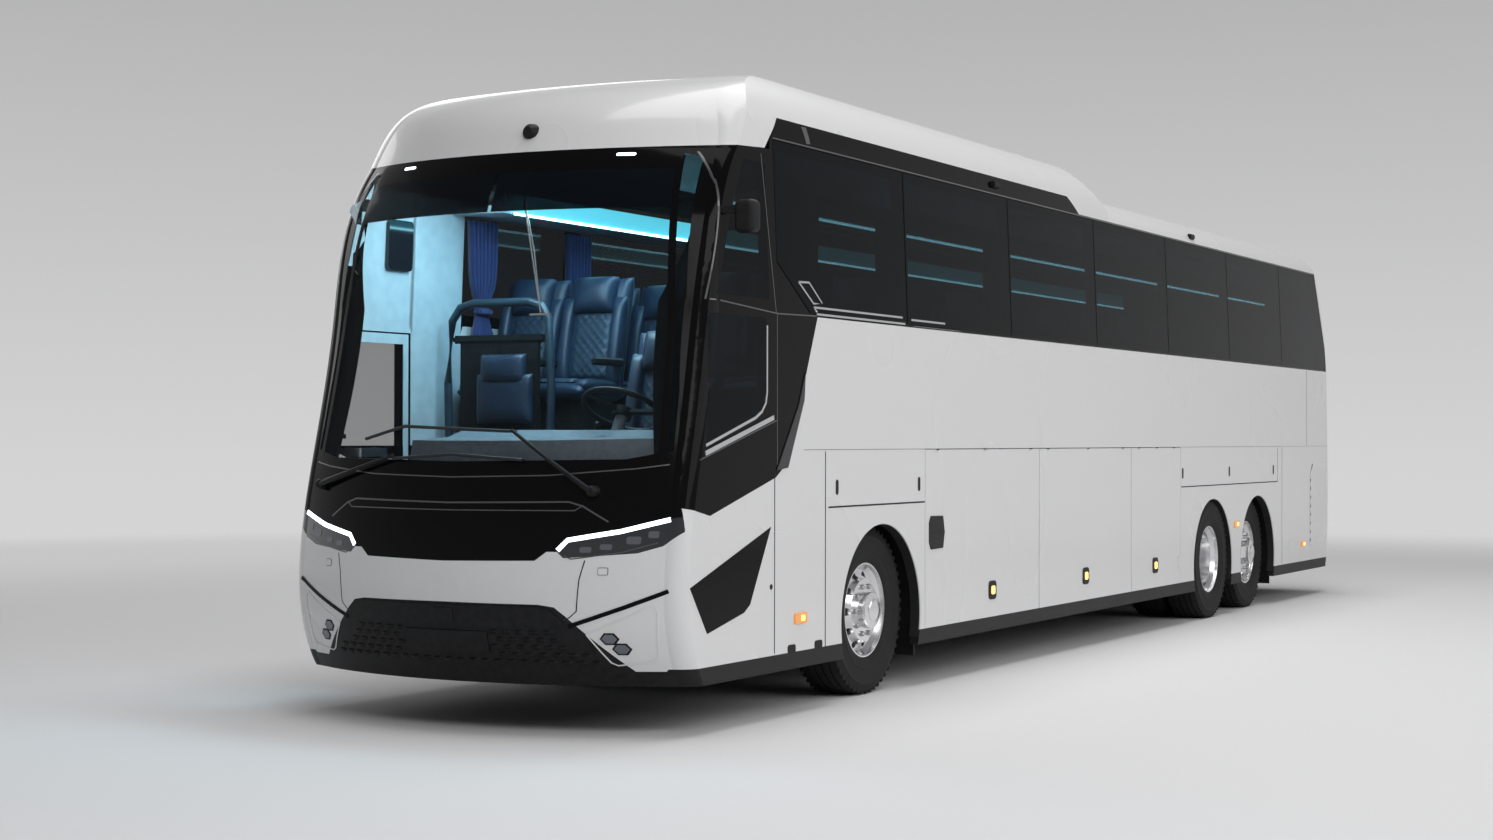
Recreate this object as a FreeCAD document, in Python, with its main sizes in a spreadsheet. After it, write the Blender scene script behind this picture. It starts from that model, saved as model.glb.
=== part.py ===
import FreeCAD, Part
import Sketcher
import math
import os
import re
from FreeCAD import Rotation, Vector

# Three-axle high-deck touring coach, left-hand drive, in millimetres.
# Frame: +X to the front, +Y to the left, +Z up, origin on the floor under the middle of the coach.

doc = FreeCAD.newDocument("coach_bus")
sheet = doc.addObject("Spreadsheet::Sheet", "Sizes")

driving_sizes = [
    # overall
    ("coachLength", 14000), ("coachWidth", 2550), ("coachHeight", 3665), ("roofMiddle", 3605),
    ("rearRoofTop", 3540), ("stepTop", 3680), ("stepFoot", 4260), ("stripEnd", 3380), ("stripFoot", 3600),
    ("wallThick", 60), ("glassThick", 10), ("panelGap", 8), ("hatchThick", 30),
    # running gear along the coach
    ("frontOverhang", 2800), ("wheelBase", 6930), ("tagGap", 1420),
    ("tyreRadius", 515), ("tyreWidth", 290), ("rimRadius", 292), ("steerTrack", 2070),
    ("twinPitch", 330), ("twinTrack", 1890), ("kingpinOffset", 140),
    ("archRadius", 575), ("archTop", 1045), ("linerRadius", 605), ("linerDepth", 740),
    # levels
    ("sillBottom", 285), ("skirtBottom", 360), ("flapLine", 1165), ("beltLine", 1500),
    ("glassBottom", 2265), ("glassTop", 3255), ("raisedTop", 3370), ("headerLine", 3150),
    ("bandLean", 40), ("deckTop", 1450), ("deckThick", 50), ("cockpitTop", 1050),
    ("luggageTop", 480), ("luggageThick", 50),
    # panel seams, from the front axle or the drive axle
    ("cornerSeam", 2400), ("cabSeam", 1430), ("archSeamFront", 790), ("archSeamBack", 645),
    ("luggageSplit", 2670), ("luggageEnd", 4700), ("rearSeamFront", 950), ("rearSeamBack", 2100),
    ("rearCorner", 210), ("paneCount", 7), ("pillarWidth", 110), ("paneGap", 12),
    # doors and flaps
    ("doorWidth", 860), ("doorHeight", 1860), ("doorTravel", 880), ("doorStandOff", 145),
    ("hingeRadius", 7), ("pinRadius", 3), ("hingeDrop", 8), ("edgeGap", 6), ("runClear", 0.05),
    # axles and steering
    ("kingpinRadius", 22), ("eyeRadius", 52), ("stubRadius", 45), ("railSpacing", 800), ("railBottom", 640),
    ("railHeight", 160), ("railWidth", 70), ("steeringWheelRadius", 225),
    # inside
    ("seatPitch", 860), ("seatWidth", 450), ("seatRows", 13), ("seatHeight", 440),
]
for row, (alias, value) in enumerate(driving_sizes, start=1):
    sheet.set("A%d" % row, alias)
    sheet.set("B%d" % row, str(value))
    sheet.setAlias("B%d" % row, alias)
doc.recompute()
aliases = [alias for alias, value in driving_sizes]
alias_pattern = re.compile(r"\b(" + "|".join(aliases) + r")\b")


def bound(text):
    """An expression on the sheet's cells, from plain alias names."""
    return alias_pattern.sub(r"Sizes.\1", str(text))


def number(text):
    """The value that such an expression has now."""
    result = sheet.evalExpression(bound(text))
    return float(result)


def set_place(item, at):
    for axis, text in zip("xyz", at):
        item.setExpression("Placement.Base." + axis, bound(text))


def joined(name, items):
    item = doc.addObject("Part::MultiFuse", name)
    item.Shapes = items
    return item


def cut_out(name, base, tools):
    item = doc.addObject("Part::Cut", name)
    item.Base = base
    item.Tool = tools[0] if len(tools) == 1 else joined(name + "_tools", tools)
    return item


def fixed(name, shape):
    """A piece whose shape is worked out below from the sheet's values."""
    item = doc.addObject("Part::Feature", name)
    item.Shape = shape
    return item


def together(shapes, least=20000.0):
    """All solids of some shapes in one compound, without the crumbs that a seam leaves."""
    return Part.makeCompound([solid for shape in shapes for solid in shape.Solids if solid.Volume > least])


def turned(name, profile, at, flip=False):
    """A body turned about the Y axis from a closed profile of (radius, y) expressions."""
    body = doc.addObject("PartDesign::Body", name)
    sketch = body.newObject("Sketcher::SketchObject", name + "_profile")
    plane = [f for f in body.Origin.OriginFeatures if f.Role == "XY_Plane"][0]
    sketch.AttachmentSupport = [(plane, "")]
    sketch.MapMode = "FlatFace"
    spots = [Vector(number(r), number(y), 0) for r, y in profile]
    count = len(spots)
    for i in range(count):
        sketch.addGeometry(Part.LineSegment(spots[i], spots[(i + 1) % count]), False)
    for i in range(count):
        sketch.addConstraint(Sketcher.Constraint("Coincident", i, 2, (i + 1) % count, 1))
    for i, (r, y) in enumerate(profile):
        for direction, text in (("DistanceX", r), ("DistanceY", y)):
            value = spots[i].x if direction == "DistanceX" else spots[i].y
            index = sketch.addConstraint(Sketcher.Constraint(direction, -1, 1, i, 1, value))
            sketch.setExpression("Constraints[%d]" % index, bound(text))
    axis = [f for f in body.Origin.OriginFeatures if f.Role == "Y_Axis"][0]
    spin = body.newObject("PartDesign::Revolution", name + "_spin")
    spin.Profile = sketch
    spin.ReferenceAxis = (axis, [""])
    spin.Angle = 360
    body.Tip = spin
    if flip:
        body.Placement.Rotation = Rotation(Vector(0, 0, 1), 180)
    set_place(body, at)
    return body


# Body shell: a cross-section run along the coach, met by a stack of plan outlines that shape nose and tail.

half = number("coachWidth / 2")
front_end = number("coachLength / 2")
front_axle_x = number("coachLength / 2 - frontOverhang")
drive_axle_x = number("coachLength / 2 - frontOverhang - wheelBase")
tag_axle_x = number("coachLength / 2 - frontOverhang - wheelBase - tagGap")
axle_z = number("tyreRadius")
wall = number("wallThick")
glass = number("glassThick")
gap = number("panelGap")
sill_z = number("sillBottom")
skirt_z = number("skirtBottom")
flap_z = number("flapLine")
belt_z = number("beltLine")
low_glass_z = number("glassBottom")
top_glass_z = number("glassTop")
raised_z = number("raisedTop")
header_z = number("headerLine")
far = 9000.0


def from_front_axle(offset):
    return front_axle_x + offset


def cross_section(inset, crown, raised):
    """Side, leaning window band and roof, closed at the sill. A raised roof has a crest over each side."""
    side = half - inset
    eave = Vector(0, side - number("bandLean"), top_glass_z)
    foot = Vector(0, side, sill_z - 20)
    waist = Vector(0, side, low_glass_z)

    def other(spot):
        return Vector(spot.x, -spot.y, spot.z)

    def line(first, second):
        return [(Part.LineSegment, first, second)]

    def arc(first, middle, last):
        return [(Part.Arc, first, middle, last)]

    left = line(foot, waist) + line(waist, eave)
    if raised:
        flank = Vector(0, eave.y - 45, crown - inset - 215)
        outer = Vector(0, eave.y - 190, crown - inset - 43)
        crest = Vector(0, eave.y - 345, crown - inset)
        inner = Vector(0, eave.y - 500, outer.z)
        valley = Vector(0, eave.y - 545, number("roofMiddle") - inset)
        left += arc(eave, flank, outer) + arc(outer, crest, inner) + line(inner, valley)
        across = line(valley, other(valley))
    else:
        quarter = Vector(0, eave.y - 330, crown - inset - 90)
        bulge = Vector(0, eave.y - 75, eave.z + (quarter.z - eave.z) * 0.62)
        left += arc(eave, bulge, quarter)
        across = arc(quarter, Vector(0, 0, crown - inset), other(quarter))
    right = [(maker, *[other(spot) for spot in reversed(spots)]) for maker, *spots in reversed(left)]
    outline = left + across + right + line(other(foot), foot)
    return Part.Face(Part.Wire([maker(*spots).toShape() for maker, *spots in outline]))


def plan_outline(level, nose_back, sag, corner_in, corner_run, tail_in, inset):
    """Plan outline at one level: bowed nose, rounded corners, straight sides, bowed tail."""
    side = half + 3 - inset
    nose = front_end - nose_back - inset
    tail = -front_end + tail_in + inset
    corner = Vector(nose - sag, side - corner_in, level)
    side_start = Vector(corner.x - corner_run, side, level)
    corner_mid = Vector(corner.x - corner_run * 0.36, side - corner_in * 0.3, level)
    tail_corner = Vector(tail + 70, side - 190, level)
    tail_side = Vector(tail + 290, side, level)
    tail_mid = Vector(tail + 130, side - 60, level)

    def other(spot):
        return Vector(spot.x, -spot.y, spot.z)

    edges = [
        Part.LineSegment(tail_side, side_start), Part.Arc(side_start, corner_mid, corner),
        Part.Arc(corner, Vector(nose, 0, level), other(corner)),
        Part.Arc(other(corner), other(corner_mid), other(side_start)),
        Part.LineSegment(other(side_start), other(tail_side)),
        Part.Arc(other(tail_side), other(tail_mid), other(tail_corner)),
        Part.Arc(other(tail_corner), Vector(tail, 0, level), tail_corner),
        Part.Arc(tail_corner, tail_mid, tail_side),
    ]
    return Part.Wire([edge.toShape() for edge in edges])


# Plan outlines by level: nose back, bow of the nose, corner in, corner run, tail in.
# The body's outlines stand below the header line, the roof's above it, where the brow rolls back.
brow_z = header_z - 10
body_stations = [
    (sill_z - 20, 150, 320, 100, 120, 90),
    (690, 0, 320, 100, 120, 0),
    (belt_z - 60, 110, 320, 100, 120, 0),
    (low_glass_z, 290, 325, 105, 130, 60),
    (brow_z, 590, 330, 130, 170, 400),
    (number("rearRoofTop") - 60, 900, 380, 240, 330, 720),
    (number("rearRoofTop") + 260, 1600, 480, 420, 600, 1500),
]
roof_stations = [
    (brow_z, 590, 330, 130, 170, 400),
    (brow_z + 210, 720, 300, 180, 270, 580),
    (brow_z + 390, 980, 200, 270, 410, 800),
    (brow_z + 480, 1350, 100, 330, 480, 950),
    (brow_z + 550, 1900, 60, 400, 560, 1200),
]


def prism(points, plane, start, end):
    """A straight prism from outline points, on the XZ, YZ or XY plane."""
    makers = {
        "xz": lambda a, b: Vector(a, start, b),
        "yz": lambda a, b: Vector(start, a, b),
        "xy": lambda a, b: Vector(a, b, start),
    }
    along = {"xz": Vector(0, end - start, 0), "yz": Vector(end - start, 0, 0),
             "xy": Vector(0, 0, end - start)}
    spots = [makers[plane](a, b) for a, b in points]
    return Part.Face(Part.makePolygon(spots + spots[:1])).extrude(along[plane])


def hull(inset):
    """The coach's outside, moved in by a wall or glass thickness."""
    low = cross_section(inset, number("rearRoofTop"), False)
    low.translate(Vector(-far, 0, 0))
    low = low.extrude(Vector(2 * far, 0, 0))
    high = cross_section(inset, number("coachHeight"), True)
    high.translate(Vector(-far, 0, 0))
    high = high.extrude(Vector(2 * far, 0, 0))
    step_top_x = from_front_axle(-number("stepTop"))
    step_foot_x = from_front_axle(-number("stepFoot"))
    step = [
        (step_foot_x, 0), (far, 0), (far, 2 * raised_z), (step_top_x, 2 * raised_z),
        (step_top_x, number("coachHeight")), (step_foot_x, number("rearRoofTop") - 200),
    ]
    body = low.fuse(high.common(prism(step, "xz", -half * 2, half * 2)))
    shaped = []
    for stations, low_z, high_z in ((body_stations, -far, brow_z), (roof_stations, brow_z, far)):
        loft = Part.makeLoft([plan_outline(*station, inset) for station in stations], True, False)
        layer = Part.makeBox(2 * far, 4 * half, high_z - low_z, Vector(-far, -2 * half, low_z))
        shaped.append(body.common(layer).common(loft))
    shaped = shaped[0].fuse(shaped[1])
    reach = front_end - inset
    ends = Part.makeBox(2 * reach, 4 * half, 2 * far, Vector(-reach, -2 * half, -far))
    return shaped.common(ends).removeSplitter()


outside = hull(0)
behind_glass = hull(glass)
inside = hull(wall)
skin = outside.cut(inside)
pane_skin = outside.cut(behind_glass)
clear_of_walls = Part.makeLoft([plan_outline(*station, wall + gap) for station in body_stations], True, False)

# Seam lines, as (x, z) seen from the left and (y, z) seen from the front.

cab_x = from_front_axle(number("cabSeam"))
corner_x = from_front_axle(number("cornerSeam"))
arch_front_x = from_front_axle(number("archSeamFront"))
arch_back_x = from_front_axle(-number("archSeamBack"))
split_x = from_front_axle(-number("luggageSplit"))
luggage_end_x = from_front_axle(-number("luggageEnd"))
rear_seam_x = drive_axle_x + number("rearSeamFront")
rear_arch_end_x = drive_axle_x - number("rearSeamBack")
tail_x = -front_end + number("rearCorner")
strip_top_x = cab_x - 535
strip_low_x = cab_x - 200

corner_line = [
    (corner_x, 0), (corner_x, belt_z - 300), (corner_x - 110, low_glass_z - 465),
    (corner_x - 200, low_glass_z + 35), (corner_x - 390, header_z - 350), (corner_x - 590, header_z + 10),
]
tail_line = [(tail_x, 0), (tail_x, low_glass_z - 60), (tail_x + 90, low_glass_z + 200),
             (tail_x + 420, top_glass_z)]
roof_line = [
    (tail_x + 420, top_glass_z), (from_front_axle(-number("stripFoot")), top_glass_z),
    (from_front_axle(-number("stripEnd")), raised_z),
    (cab_x - 120, raised_z), (cab_x + 60, header_z + 30), (corner_x - 590, header_z + 10),
]
cab_low_line = [
    (corner_x, belt_z - 300), (corner_x - 230, flap_z - 10), (cab_x - 15, belt_z - 152),
    (strip_low_x + 110, belt_z - 108), (strip_low_x, belt_z),
]


def side_prism(points, sign, depth=2000.0):
    return prism(points, "xz", 0.0, sign * depth)


def front_prism(points):
    both = points + [(-y, z) for y, z in reversed(points) if y > 0.5]
    return prism(both, "yz", front_end - 1200, far)


def arch_hole(axle_x, sign, radius):
    centre_z = number("archTop - archRadius")
    start = Vector(axle_x, sign * (half - 2 * wall), centre_z)
    return Part.makeCylinder(radius, 4 * wall, start, Vector(0, sign, 0))


# Roof with its raised front, roof hatches let into it.

roof_region = prism(
    [(-far, top_glass_z)] + roof_line + [(corner_x, header_z - 20), (far, header_z - 20), (far, far),
                                         (-far, far)],
    "xz", -2 * half, 2 * half)
roof = skin.common(roof_region)
hatch_places = [from_front_axle(-200), drive_axle_x + 800]
hatch_half = 380
hatch_lid = outside.cut(hull(number("hatchThick")))


def hatch_box(half_size):
    return Part.makeCompound([
        Part.makeBox(2 * half_size, 2 * half_size, far, Vector(hatch_x - half_size, -half_size, header_z))
        for hatch_x in hatch_places])


fixed("roof", roof.cut(hatch_lid.common(hatch_box(hatch_half))).cut(hatch_box(hatch_half - 40)))
fixed("roof_hatches", together([hatch_lid.common(hatch_box(hatch_half - gap))]))

# Windscreen, black front mask with the screen pillars, bumper, lower grille and lip.

front_region = prism(corner_line + [(corner_x, header_z - 20), (far, header_z - 20), (far, 0)], "xz",
                     -2 * half, 2 * half)
front_skin = skin.common(front_region)
screen_edge = [
    (0, belt_z - 60), (half - 330, belt_z - 45), (half - 112, belt_z), (half - 130, low_glass_z),
    (half - 165, header_z - 60), (half - 400, header_z - 22), (0, header_z - 20),
]
mask_line = [
    (0, 915), (540, 925), (600, 972), (655, 972), (690, 940), (1050, 968), (1165, 1005), (half - 40, 1080),
    (2 * half, 1150),
]
lamp_outline = [(650, 985), (700, 1035), (half - 60, 1152), (half, 1158), (half, 1095), (1165, 1005),
                (1050, 968), (690, 940)]
grille_outline = [(0, 700), (560, 697), (645, 685), (700, 640), (1005, skirt_z - 12), (1005, 0), (0, 0)]
mask_region = front_prism([(0, far), (2 * half, far)] + list(reversed(mask_line)))
screen_region = front_prism(screen_edge)
lamp_region = Part.makeCompound([
    prism([(sign * y, z) for y, z in lamp_outline], "yz", front_end - 1200, far) for sign in (1, -1)])
grille_region = front_prism(grille_outline)
lip_region = Part.makeBox(far, 4 * half, skirt_z - 12, Vector(0, -2 * half, 0))
fixed("windscreen", pane_skin.common(front_region).common(screen_region))
fixed("front_mask", together([front_skin.common(mask_region).cut(screen_region).cut(lamp_region)]))
below_mask = front_skin.cut(mask_region).cut(lamp_region).cut(lip_region)
fixed("front_bumper", together([below_mask.cut(grille_region)]))
grille_plate = below_mask.common(grille_region).fuse(front_skin.common(lip_region))
fixed("lower_grille", together([grille_plate.removeSplitter()]))
fixed("headlamps", front_skin.common(lamp_region))

# Sides. The window band is black: pillars behind flush panes, from the cab seam to the tail corner.

pane_start = cab_x - 40
pane_end = tail_x + 30
pane_pitch = (pane_start - pane_end) / number("paneCount")


def pane_outline(index, margin):
    """Outline of one side pane; the first has its low front corner cut, the last follows the tail."""
    front_x = pane_start - index * pane_pitch - margin
    back_x = pane_start - (index + 1) * pane_pitch + margin
    low = low_glass_z + 15 + margin
    top = top_glass_z - 15 - margin
    if index == 0:
        return [(back_x, low), (front_x - 400, low), (front_x, low + 270), (front_x, top), (back_x, top)]
    if index == number("paneCount") - 1:
        return [(back_x + 90, low), (front_x, low), (front_x, top), (back_x + 430, top),
                (back_x + 60, low + 170)]
    return [(back_x, low), (front_x, low), (front_x, top), (back_x, top)]


panes = range(int(number("paneCount")))
pane_gap = number("paneGap")
edge = number("edgeGap")
pillar = number("pillarWidth")

cab_outline = cab_low_line + [(strip_top_x, low_glass_z), (cab_x, low_glass_z), (cab_x, header_z + 30),
                              (corner_x - 590, header_z + 10)] + list(reversed(corner_line[1:5]))
driver_window = [
    (corner_x - 185, belt_z + 30), (corner_x - 255, low_glass_z - 35), (cab_x + 100, low_glass_z - 35),
    (cab_x + 100, belt_z + 260), (cab_x + 140, belt_z + 215),
]
cab_quarter = [
    (corner_x - 310, low_glass_z + 70), (corner_x - 500, header_z - 350), (corner_x - 655, header_z - 60),
    (cab_x + 60, header_z - 55), (cab_x + 60, low_glass_z + 70),
]
door_back_x = cab_x + 10
door_front_x = door_back_x + number("doorWidth")
mid_door_back_x = rear_seam_x + 90
mid_door_front_x = mid_door_back_x + number("doorWidth")
door_top_z = skirt_z + number("doorHeight")


def front_door_outline(low, margin):
    """Front door seen from the side; its front edge leans back above the belt."""
    lean_z = belt_z - 300
    return [(door_back_x - margin, low), (door_front_x + margin, low), (door_front_x + margin, lean_z),
            (door_front_x - 180 + margin, door_top_z + margin), (door_back_x - margin, door_top_z + margin)]


def mid_door_outline(low, margin):
    return [(mid_door_back_x - margin, low), (mid_door_front_x + margin, low),
            (mid_door_front_x + margin, door_top_z + margin), (mid_door_back_x - margin, door_top_z + margin)]


def shrunk_rect(x0, x1, z0, z1, margin):
    return [(x0 + margin, z0 + margin), (x1 - margin, z0 + margin), (x1 - margin, z1 - margin),
            (x0 + margin, z1 - margin)]


both_sides = {name: [] for name in ("side_walls", "window_frames", "window_glass", "cab_sides",
                                    "lower_panels")}
flap_spans = []
for sign, side in ((1, "left"), (-1, "right")):
    band = skin.common(side_prism(
        [(tail_x, belt_z)] + tail_line[1:] + roof_line[1:4] +
        [(cab_x, header_z + 75), (cab_x, low_glass_z), (strip_top_x, low_glass_z), (strip_low_x, belt_z)],
        sign))
    frame_region = side_prism([(-far, low_glass_z), (far, low_glass_z), (far, far), (-far, far)], sign)
    panel = band.cut(frame_region)
    frame = band.common(frame_region)
    glass_panes = []
    for index in panes:
        region = side_prism(pane_outline(index, pane_gap / 2), sign)
        glass_panes.append(pane_skin.common(region))
        frame = frame.cut(pane_skin.common(side_prism(pane_outline(index, 0), sign)))
        frame = frame.cut(side_prism(pane_outline(index, pillar / 2), sign))
    cab = skin.common(side_prism(cab_outline, sign))
    below = skin.common(side_prism([
        (tail_x, skirt_z), (tail_x, belt_z), (strip_low_x, belt_z)] + list(reversed(cab_low_line[:4])) +
        [(corner_x, skirt_z)], sign))
    cab_glass = [pane_skin.common(side_prism(cab_quarter, sign))]
    cab = cab.cut(side_prism(cab_quarter, sign))
    if side == "left":
        cab_glass.append(pane_skin.common(side_prism(driver_window, sign)))
        cab = cab.cut(side_prism(driver_window, sign))
    else:
        front_hole = side_prism(front_door_outline(-10, 0), sign)
        mid_hole = side_prism(mid_door_outline(-10, 0), sign)
        cab = cab.cut(front_hole)
        below = below.cut(front_hole).cut(mid_hole)
        panel = panel.cut(mid_hole)
    for axle_x in (front_axle_x, drive_axle_x, tag_axle_x):
        below = below.cut(arch_hole(axle_x, sign, number("archRadius")))
    flap_edges = [(arch_back_x, split_x), (split_x, luggage_end_x)]
    if side == "left":
        flap_edges.append((luggage_end_x, rear_seam_x))
    for index, (front_x, back_x) in enumerate(flap_edges, start=1):
        flap_spans.append((side, index, sign, back_x + edge, front_x - edge))
    flaps_span = (flap_edges[-1][1], flap_edges[0][0])
    below = below.cut(side_prism(shrunk_rect(flaps_span[0], flaps_span[1], skirt_z - 20, belt_z, -0.5), sign))
    seams = []
    for seam_x in (cab_x, arch_front_x):
        seams.append(Part.makeBox(gap / 2, wall + 40, belt_z, Vector(seam_x - gap / 4,
                                                                     sign * half - (wall + 20), 0)))
    below = below.cut(Part.makeCompound(seams))
    both_sides["side_walls"].append(panel)
    both_sides["window_frames"].append(frame)
    both_sides["window_glass"] += glass_panes + cab_glass
    both_sides["cab_sides"].append(cab)
    both_sides["lower_panels"].append(below)

# Hinges: a barrel on the moving piece, broken by knuckles that hang from the piece above.

hinge_r = number("hingeRadius")
hinge_pin_r = number("pinRadius")
hinge_drop = number("hingeDrop")
run_clear = number("runClear")
knuckle_half = 20
knuckle_play = 1


def hinge_barrel(start, end, knuckles, along):
    """Barrel pieces between the knuckles, on one pin, with a web down into the moving piece."""
    reach = end - start
    length = reach.Length
    barrel = Part.makeCylinder(hinge_r, length, start, reach)
    web = Part.makeBox(length, 2 * hinge_r, 2 * hinge_drop + 2, Vector(0, -hinge_r, -2 * hinge_drop - 2))
    web.Placement = FreeCAD.Placement(start, Rotation(Vector(1, 0, 0), reach))
    barrel = barrel.fuse(web)
    unit = Vector(reach).normalize()
    for spot in knuckles:
        low = start + unit * (spot - knuckle_half - knuckle_play)
        notch_long = 2 * (knuckle_half + knuckle_play)
        notch = Part.makeBox(notch_long, 2 * hinge_r + 4, hinge_drop, Vector(0, -hinge_r - 2, -hinge_drop))
        notch.Placement = FreeCAD.Placement(low, Rotation(Vector(1, 0, 0), reach))
        barrel = barrel.cut(notch.fuse(Part.makeCylinder(hinge_r + 1, notch_long, low, unit)))
    return barrel.fuse(Part.makeCylinder(hinge_pin_r, length, start, unit))


def hinge_knuckles(start, end, knuckles):
    """The fixed half of the same hinge, up to the underside of the piece above."""
    unit = (end - start).normalize()
    made = []
    for spot in knuckles:
        low = start + unit * (spot - knuckle_half)
        tube = Part.makeCylinder(hinge_r, 2 * knuckle_half, low, unit)
        neck = Part.makeBox(2 * knuckle_half, 2 * hinge_r, hinge_drop + 4, Vector(0, -hinge_r, 0))
        neck.Placement = FreeCAD.Placement(low, Rotation(Vector(1, 0, 0), unit))
        bore = Part.makeCylinder(hinge_pin_r + run_clear, 2 * knuckle_half, low, unit)
        made.append(tube.fuse(neck).cut(bore))
    return made


side_knuckles = {1: [], -1: []}
for side, index, sign, back_x, front_x in flap_spans:
    flap_top = belt_z - 2 * hinge_drop
    region = side_prism([(back_x, skirt_z), (front_x, skirt_z), (front_x, flap_top), (back_x, flap_top)],
                        sign)
    start = Vector(back_x, sign * (half - hinge_drop), belt_z - hinge_drop)
    end = Vector(front_x, start.y, start.z)
    length = front_x - back_x
    spots = [180, length / 2, length - 180]
    flap = skin.common(region).fuse(hinge_barrel(start, end, spots, sign))
    fixed("luggage_flap_%s_%d" % (side, index), flap.removeSplitter())
    side_knuckles[sign] += hinge_knuckles(start, end, spots)

# Bearing brackets that hold the two door shafts at the top.

shaft_r = 18
shaft_inset = 30
front_shaft = Vector(door_front_x - 110, -(half - wall - shaft_inset), 0)
mid_shaft = Vector(mid_door_back_x + 40, front_shaft.y, 0)
front_bracket_z = belt_z + 60
mid_bracket_z = door_top_z + 14
bracket_high = 26


def shaft_bracket(shaft, low_z, root_x, root_length):
    """Plate around the shaft, 8 mm off the leaf, with a root let into the panel beside the door."""
    inner_y = -(half - wall)
    plate = Part.makeBox(abs(root_x - shaft.x) + 70, 62, bracket_high,
                         Vector(min(root_x, shaft.x - 40), inner_y + 8, low_z))
    root = Part.makeBox(root_length, 20, bracket_high, Vector(root_x, inner_y - 7, low_z))
    bore = Part.makeCylinder(shaft_r + run_clear, 100, Vector(shaft.x, shaft.y, low_z - 10))
    beside_leaf = Part.makeBox(2 * far, 4 * half, far, Vector(root_x - 2 * far, -4 * half, 0))
    trimmed = plate.common(beside_leaf).common(clear_of_walls).fuse(plate.cut(beside_leaf))
    return trimmed.fuse(root).cut(bore)


walls = []
for sign, panel in zip((1, -1), both_sides["side_walls"]):
    for knuckle in side_knuckles[sign]:
        panel = panel.fuse(knuckle)
    if sign < 0:
        panel = panel.fuse(shaft_bracket(mid_shaft, mid_bracket_z, mid_shaft.x - 40, 80))
    walls.append(panel)
both_sides["side_walls"] = walls
cabs = both_sides["cab_sides"]
both_sides["cab_sides"] = [cabs[0], cabs[1].fuse(shaft_bracket(front_shaft, front_bracket_z,
                                                               front_shaft.x + 56, 26))]
for name, shapes in both_sides.items():
    fixed(name, together(shapes))

# Tail: wall, dark rear window, top-hung engine lid, tail lamps, black lower bumper.

tail_region = prism([(-far, 0), (tail_x, 0)] + tail_line[1:] + [(-far, top_glass_z)], "xz", -2 * half,
                    2 * half)
tail_skin = skin.common(tail_region)


def tail_prism(points):
    both = points + [(-y, z) for y, z in reversed(points) if y > 0.5]
    return prism(both, "yz", -far, -front_end + 1600)


lid_low_z = 620
lid_high_z = belt_z - 20
lid_half = 820
lid_hinge_half = 260
rear_window_edge = [
    (0, low_glass_z - 60), (half - 190, low_glass_z - 60), (half - 150, low_glass_z),
    (half - 200, top_glass_z - 90),
    (0, top_glass_z - 60)]
rear_window_hole = [
    (0, low_glass_z + 20), (half - 260, low_glass_z + 20), (half - 290, top_glass_z - 170),
    (0, top_glass_z - 140)]
lamp_column = [(half - 235, 700), (half - 75, 760), (half - 75, belt_z - 90), (half - 235, belt_z - 40)]
lamp_columns = Part.makeCompound([
    prism([(sign * y, z) for y, z in lamp_column], "yz", -far, -front_end + 500) for sign in (1, -1)])
bumper_region = tail_prism([(0, 560), (half - 260, 560), (2 * half, 470), (2 * half, 0), (0, 0)])
lid_hole = tail_prism([(0, lid_high_z), (lid_half, lid_high_z), (lid_half, lid_low_z), (0, lid_low_z)])
lid_region = tail_prism([
    (0, lid_high_z - 2 * hinge_drop), (lid_hinge_half + 2, lid_high_z - 2 * hinge_drop),
    (lid_hinge_half + 2, lid_high_z - edge), (lid_half - edge, lid_high_z - edge),
    (lid_half - edge, lid_low_z + edge), (0, lid_low_z + edge)])
lid_start = Vector(-front_end + hinge_drop + 1, -lid_hinge_half, lid_high_z - hinge_drop)
lid_end = Vector(lid_start.x, lid_hinge_half, lid_start.z)
lid_spots = [70, lid_hinge_half, 2 * lid_hinge_half - 70]
rear_glass = pane_skin.common(tail_prism(rear_window_edge)).common(tail_region)
rear_wall = tail_skin.cut(rear_glass).cut(tail_prism(rear_window_hole)).cut(lid_hole)
rear_wall = rear_wall.cut(lamp_columns).cut(bumper_region)
for knuckle in hinge_knuckles(lid_start, lid_end, lid_spots):
    rear_wall = rear_wall.fuse(knuckle)
fixed("rear_wall", together([rear_wall]))
fixed("rear_window", rear_glass)
fixed("engine_lid", together([tail_skin.common(lid_region).fuse(hinge_barrel(lid_start, lid_end, lid_spots,
                                                                             1))]))
fixed("tail_lamps", tail_skin.common(lamp_columns))
fixed("rear_bumper", tail_skin.common(bumper_region))

# Doors: skin, glass in a rebate, lugs with a pin for each arm.

arm_levels = {"front_door": (skirt_z + 140, belt_z - 20), "mid_door": (skirt_z + 140, door_top_z - 90)}
shaft_tops = {"front_door": front_bracket_z + bracket_high - 4, "mid_door": mid_bracket_z + bracket_high - 4}
arm_half_high = 25
arm_half_wide = 15
lug_thick = 12
door_rail_long = 700
door_rail_thick = 23
arm_pin_r = 10
travel = number("doorTravel")
stand_off = number("doorStandOff")


def door_window(outline, margin):
    """The same outline drawn in by a margin, with its foot at knee height."""
    (x0, z0), (x1, z1), rest, top = outline[0], outline[1], outline[2:-1], outline[-1]
    low = skirt_z + 330 + margin
    inner = [(x0 + margin, low), (x1 - margin, low)]
    inner += [(x - margin, min(z, door_top_z - margin)) for x, z in rest]
    return inner + [(top[0] + margin, door_top_z - margin)]


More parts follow.
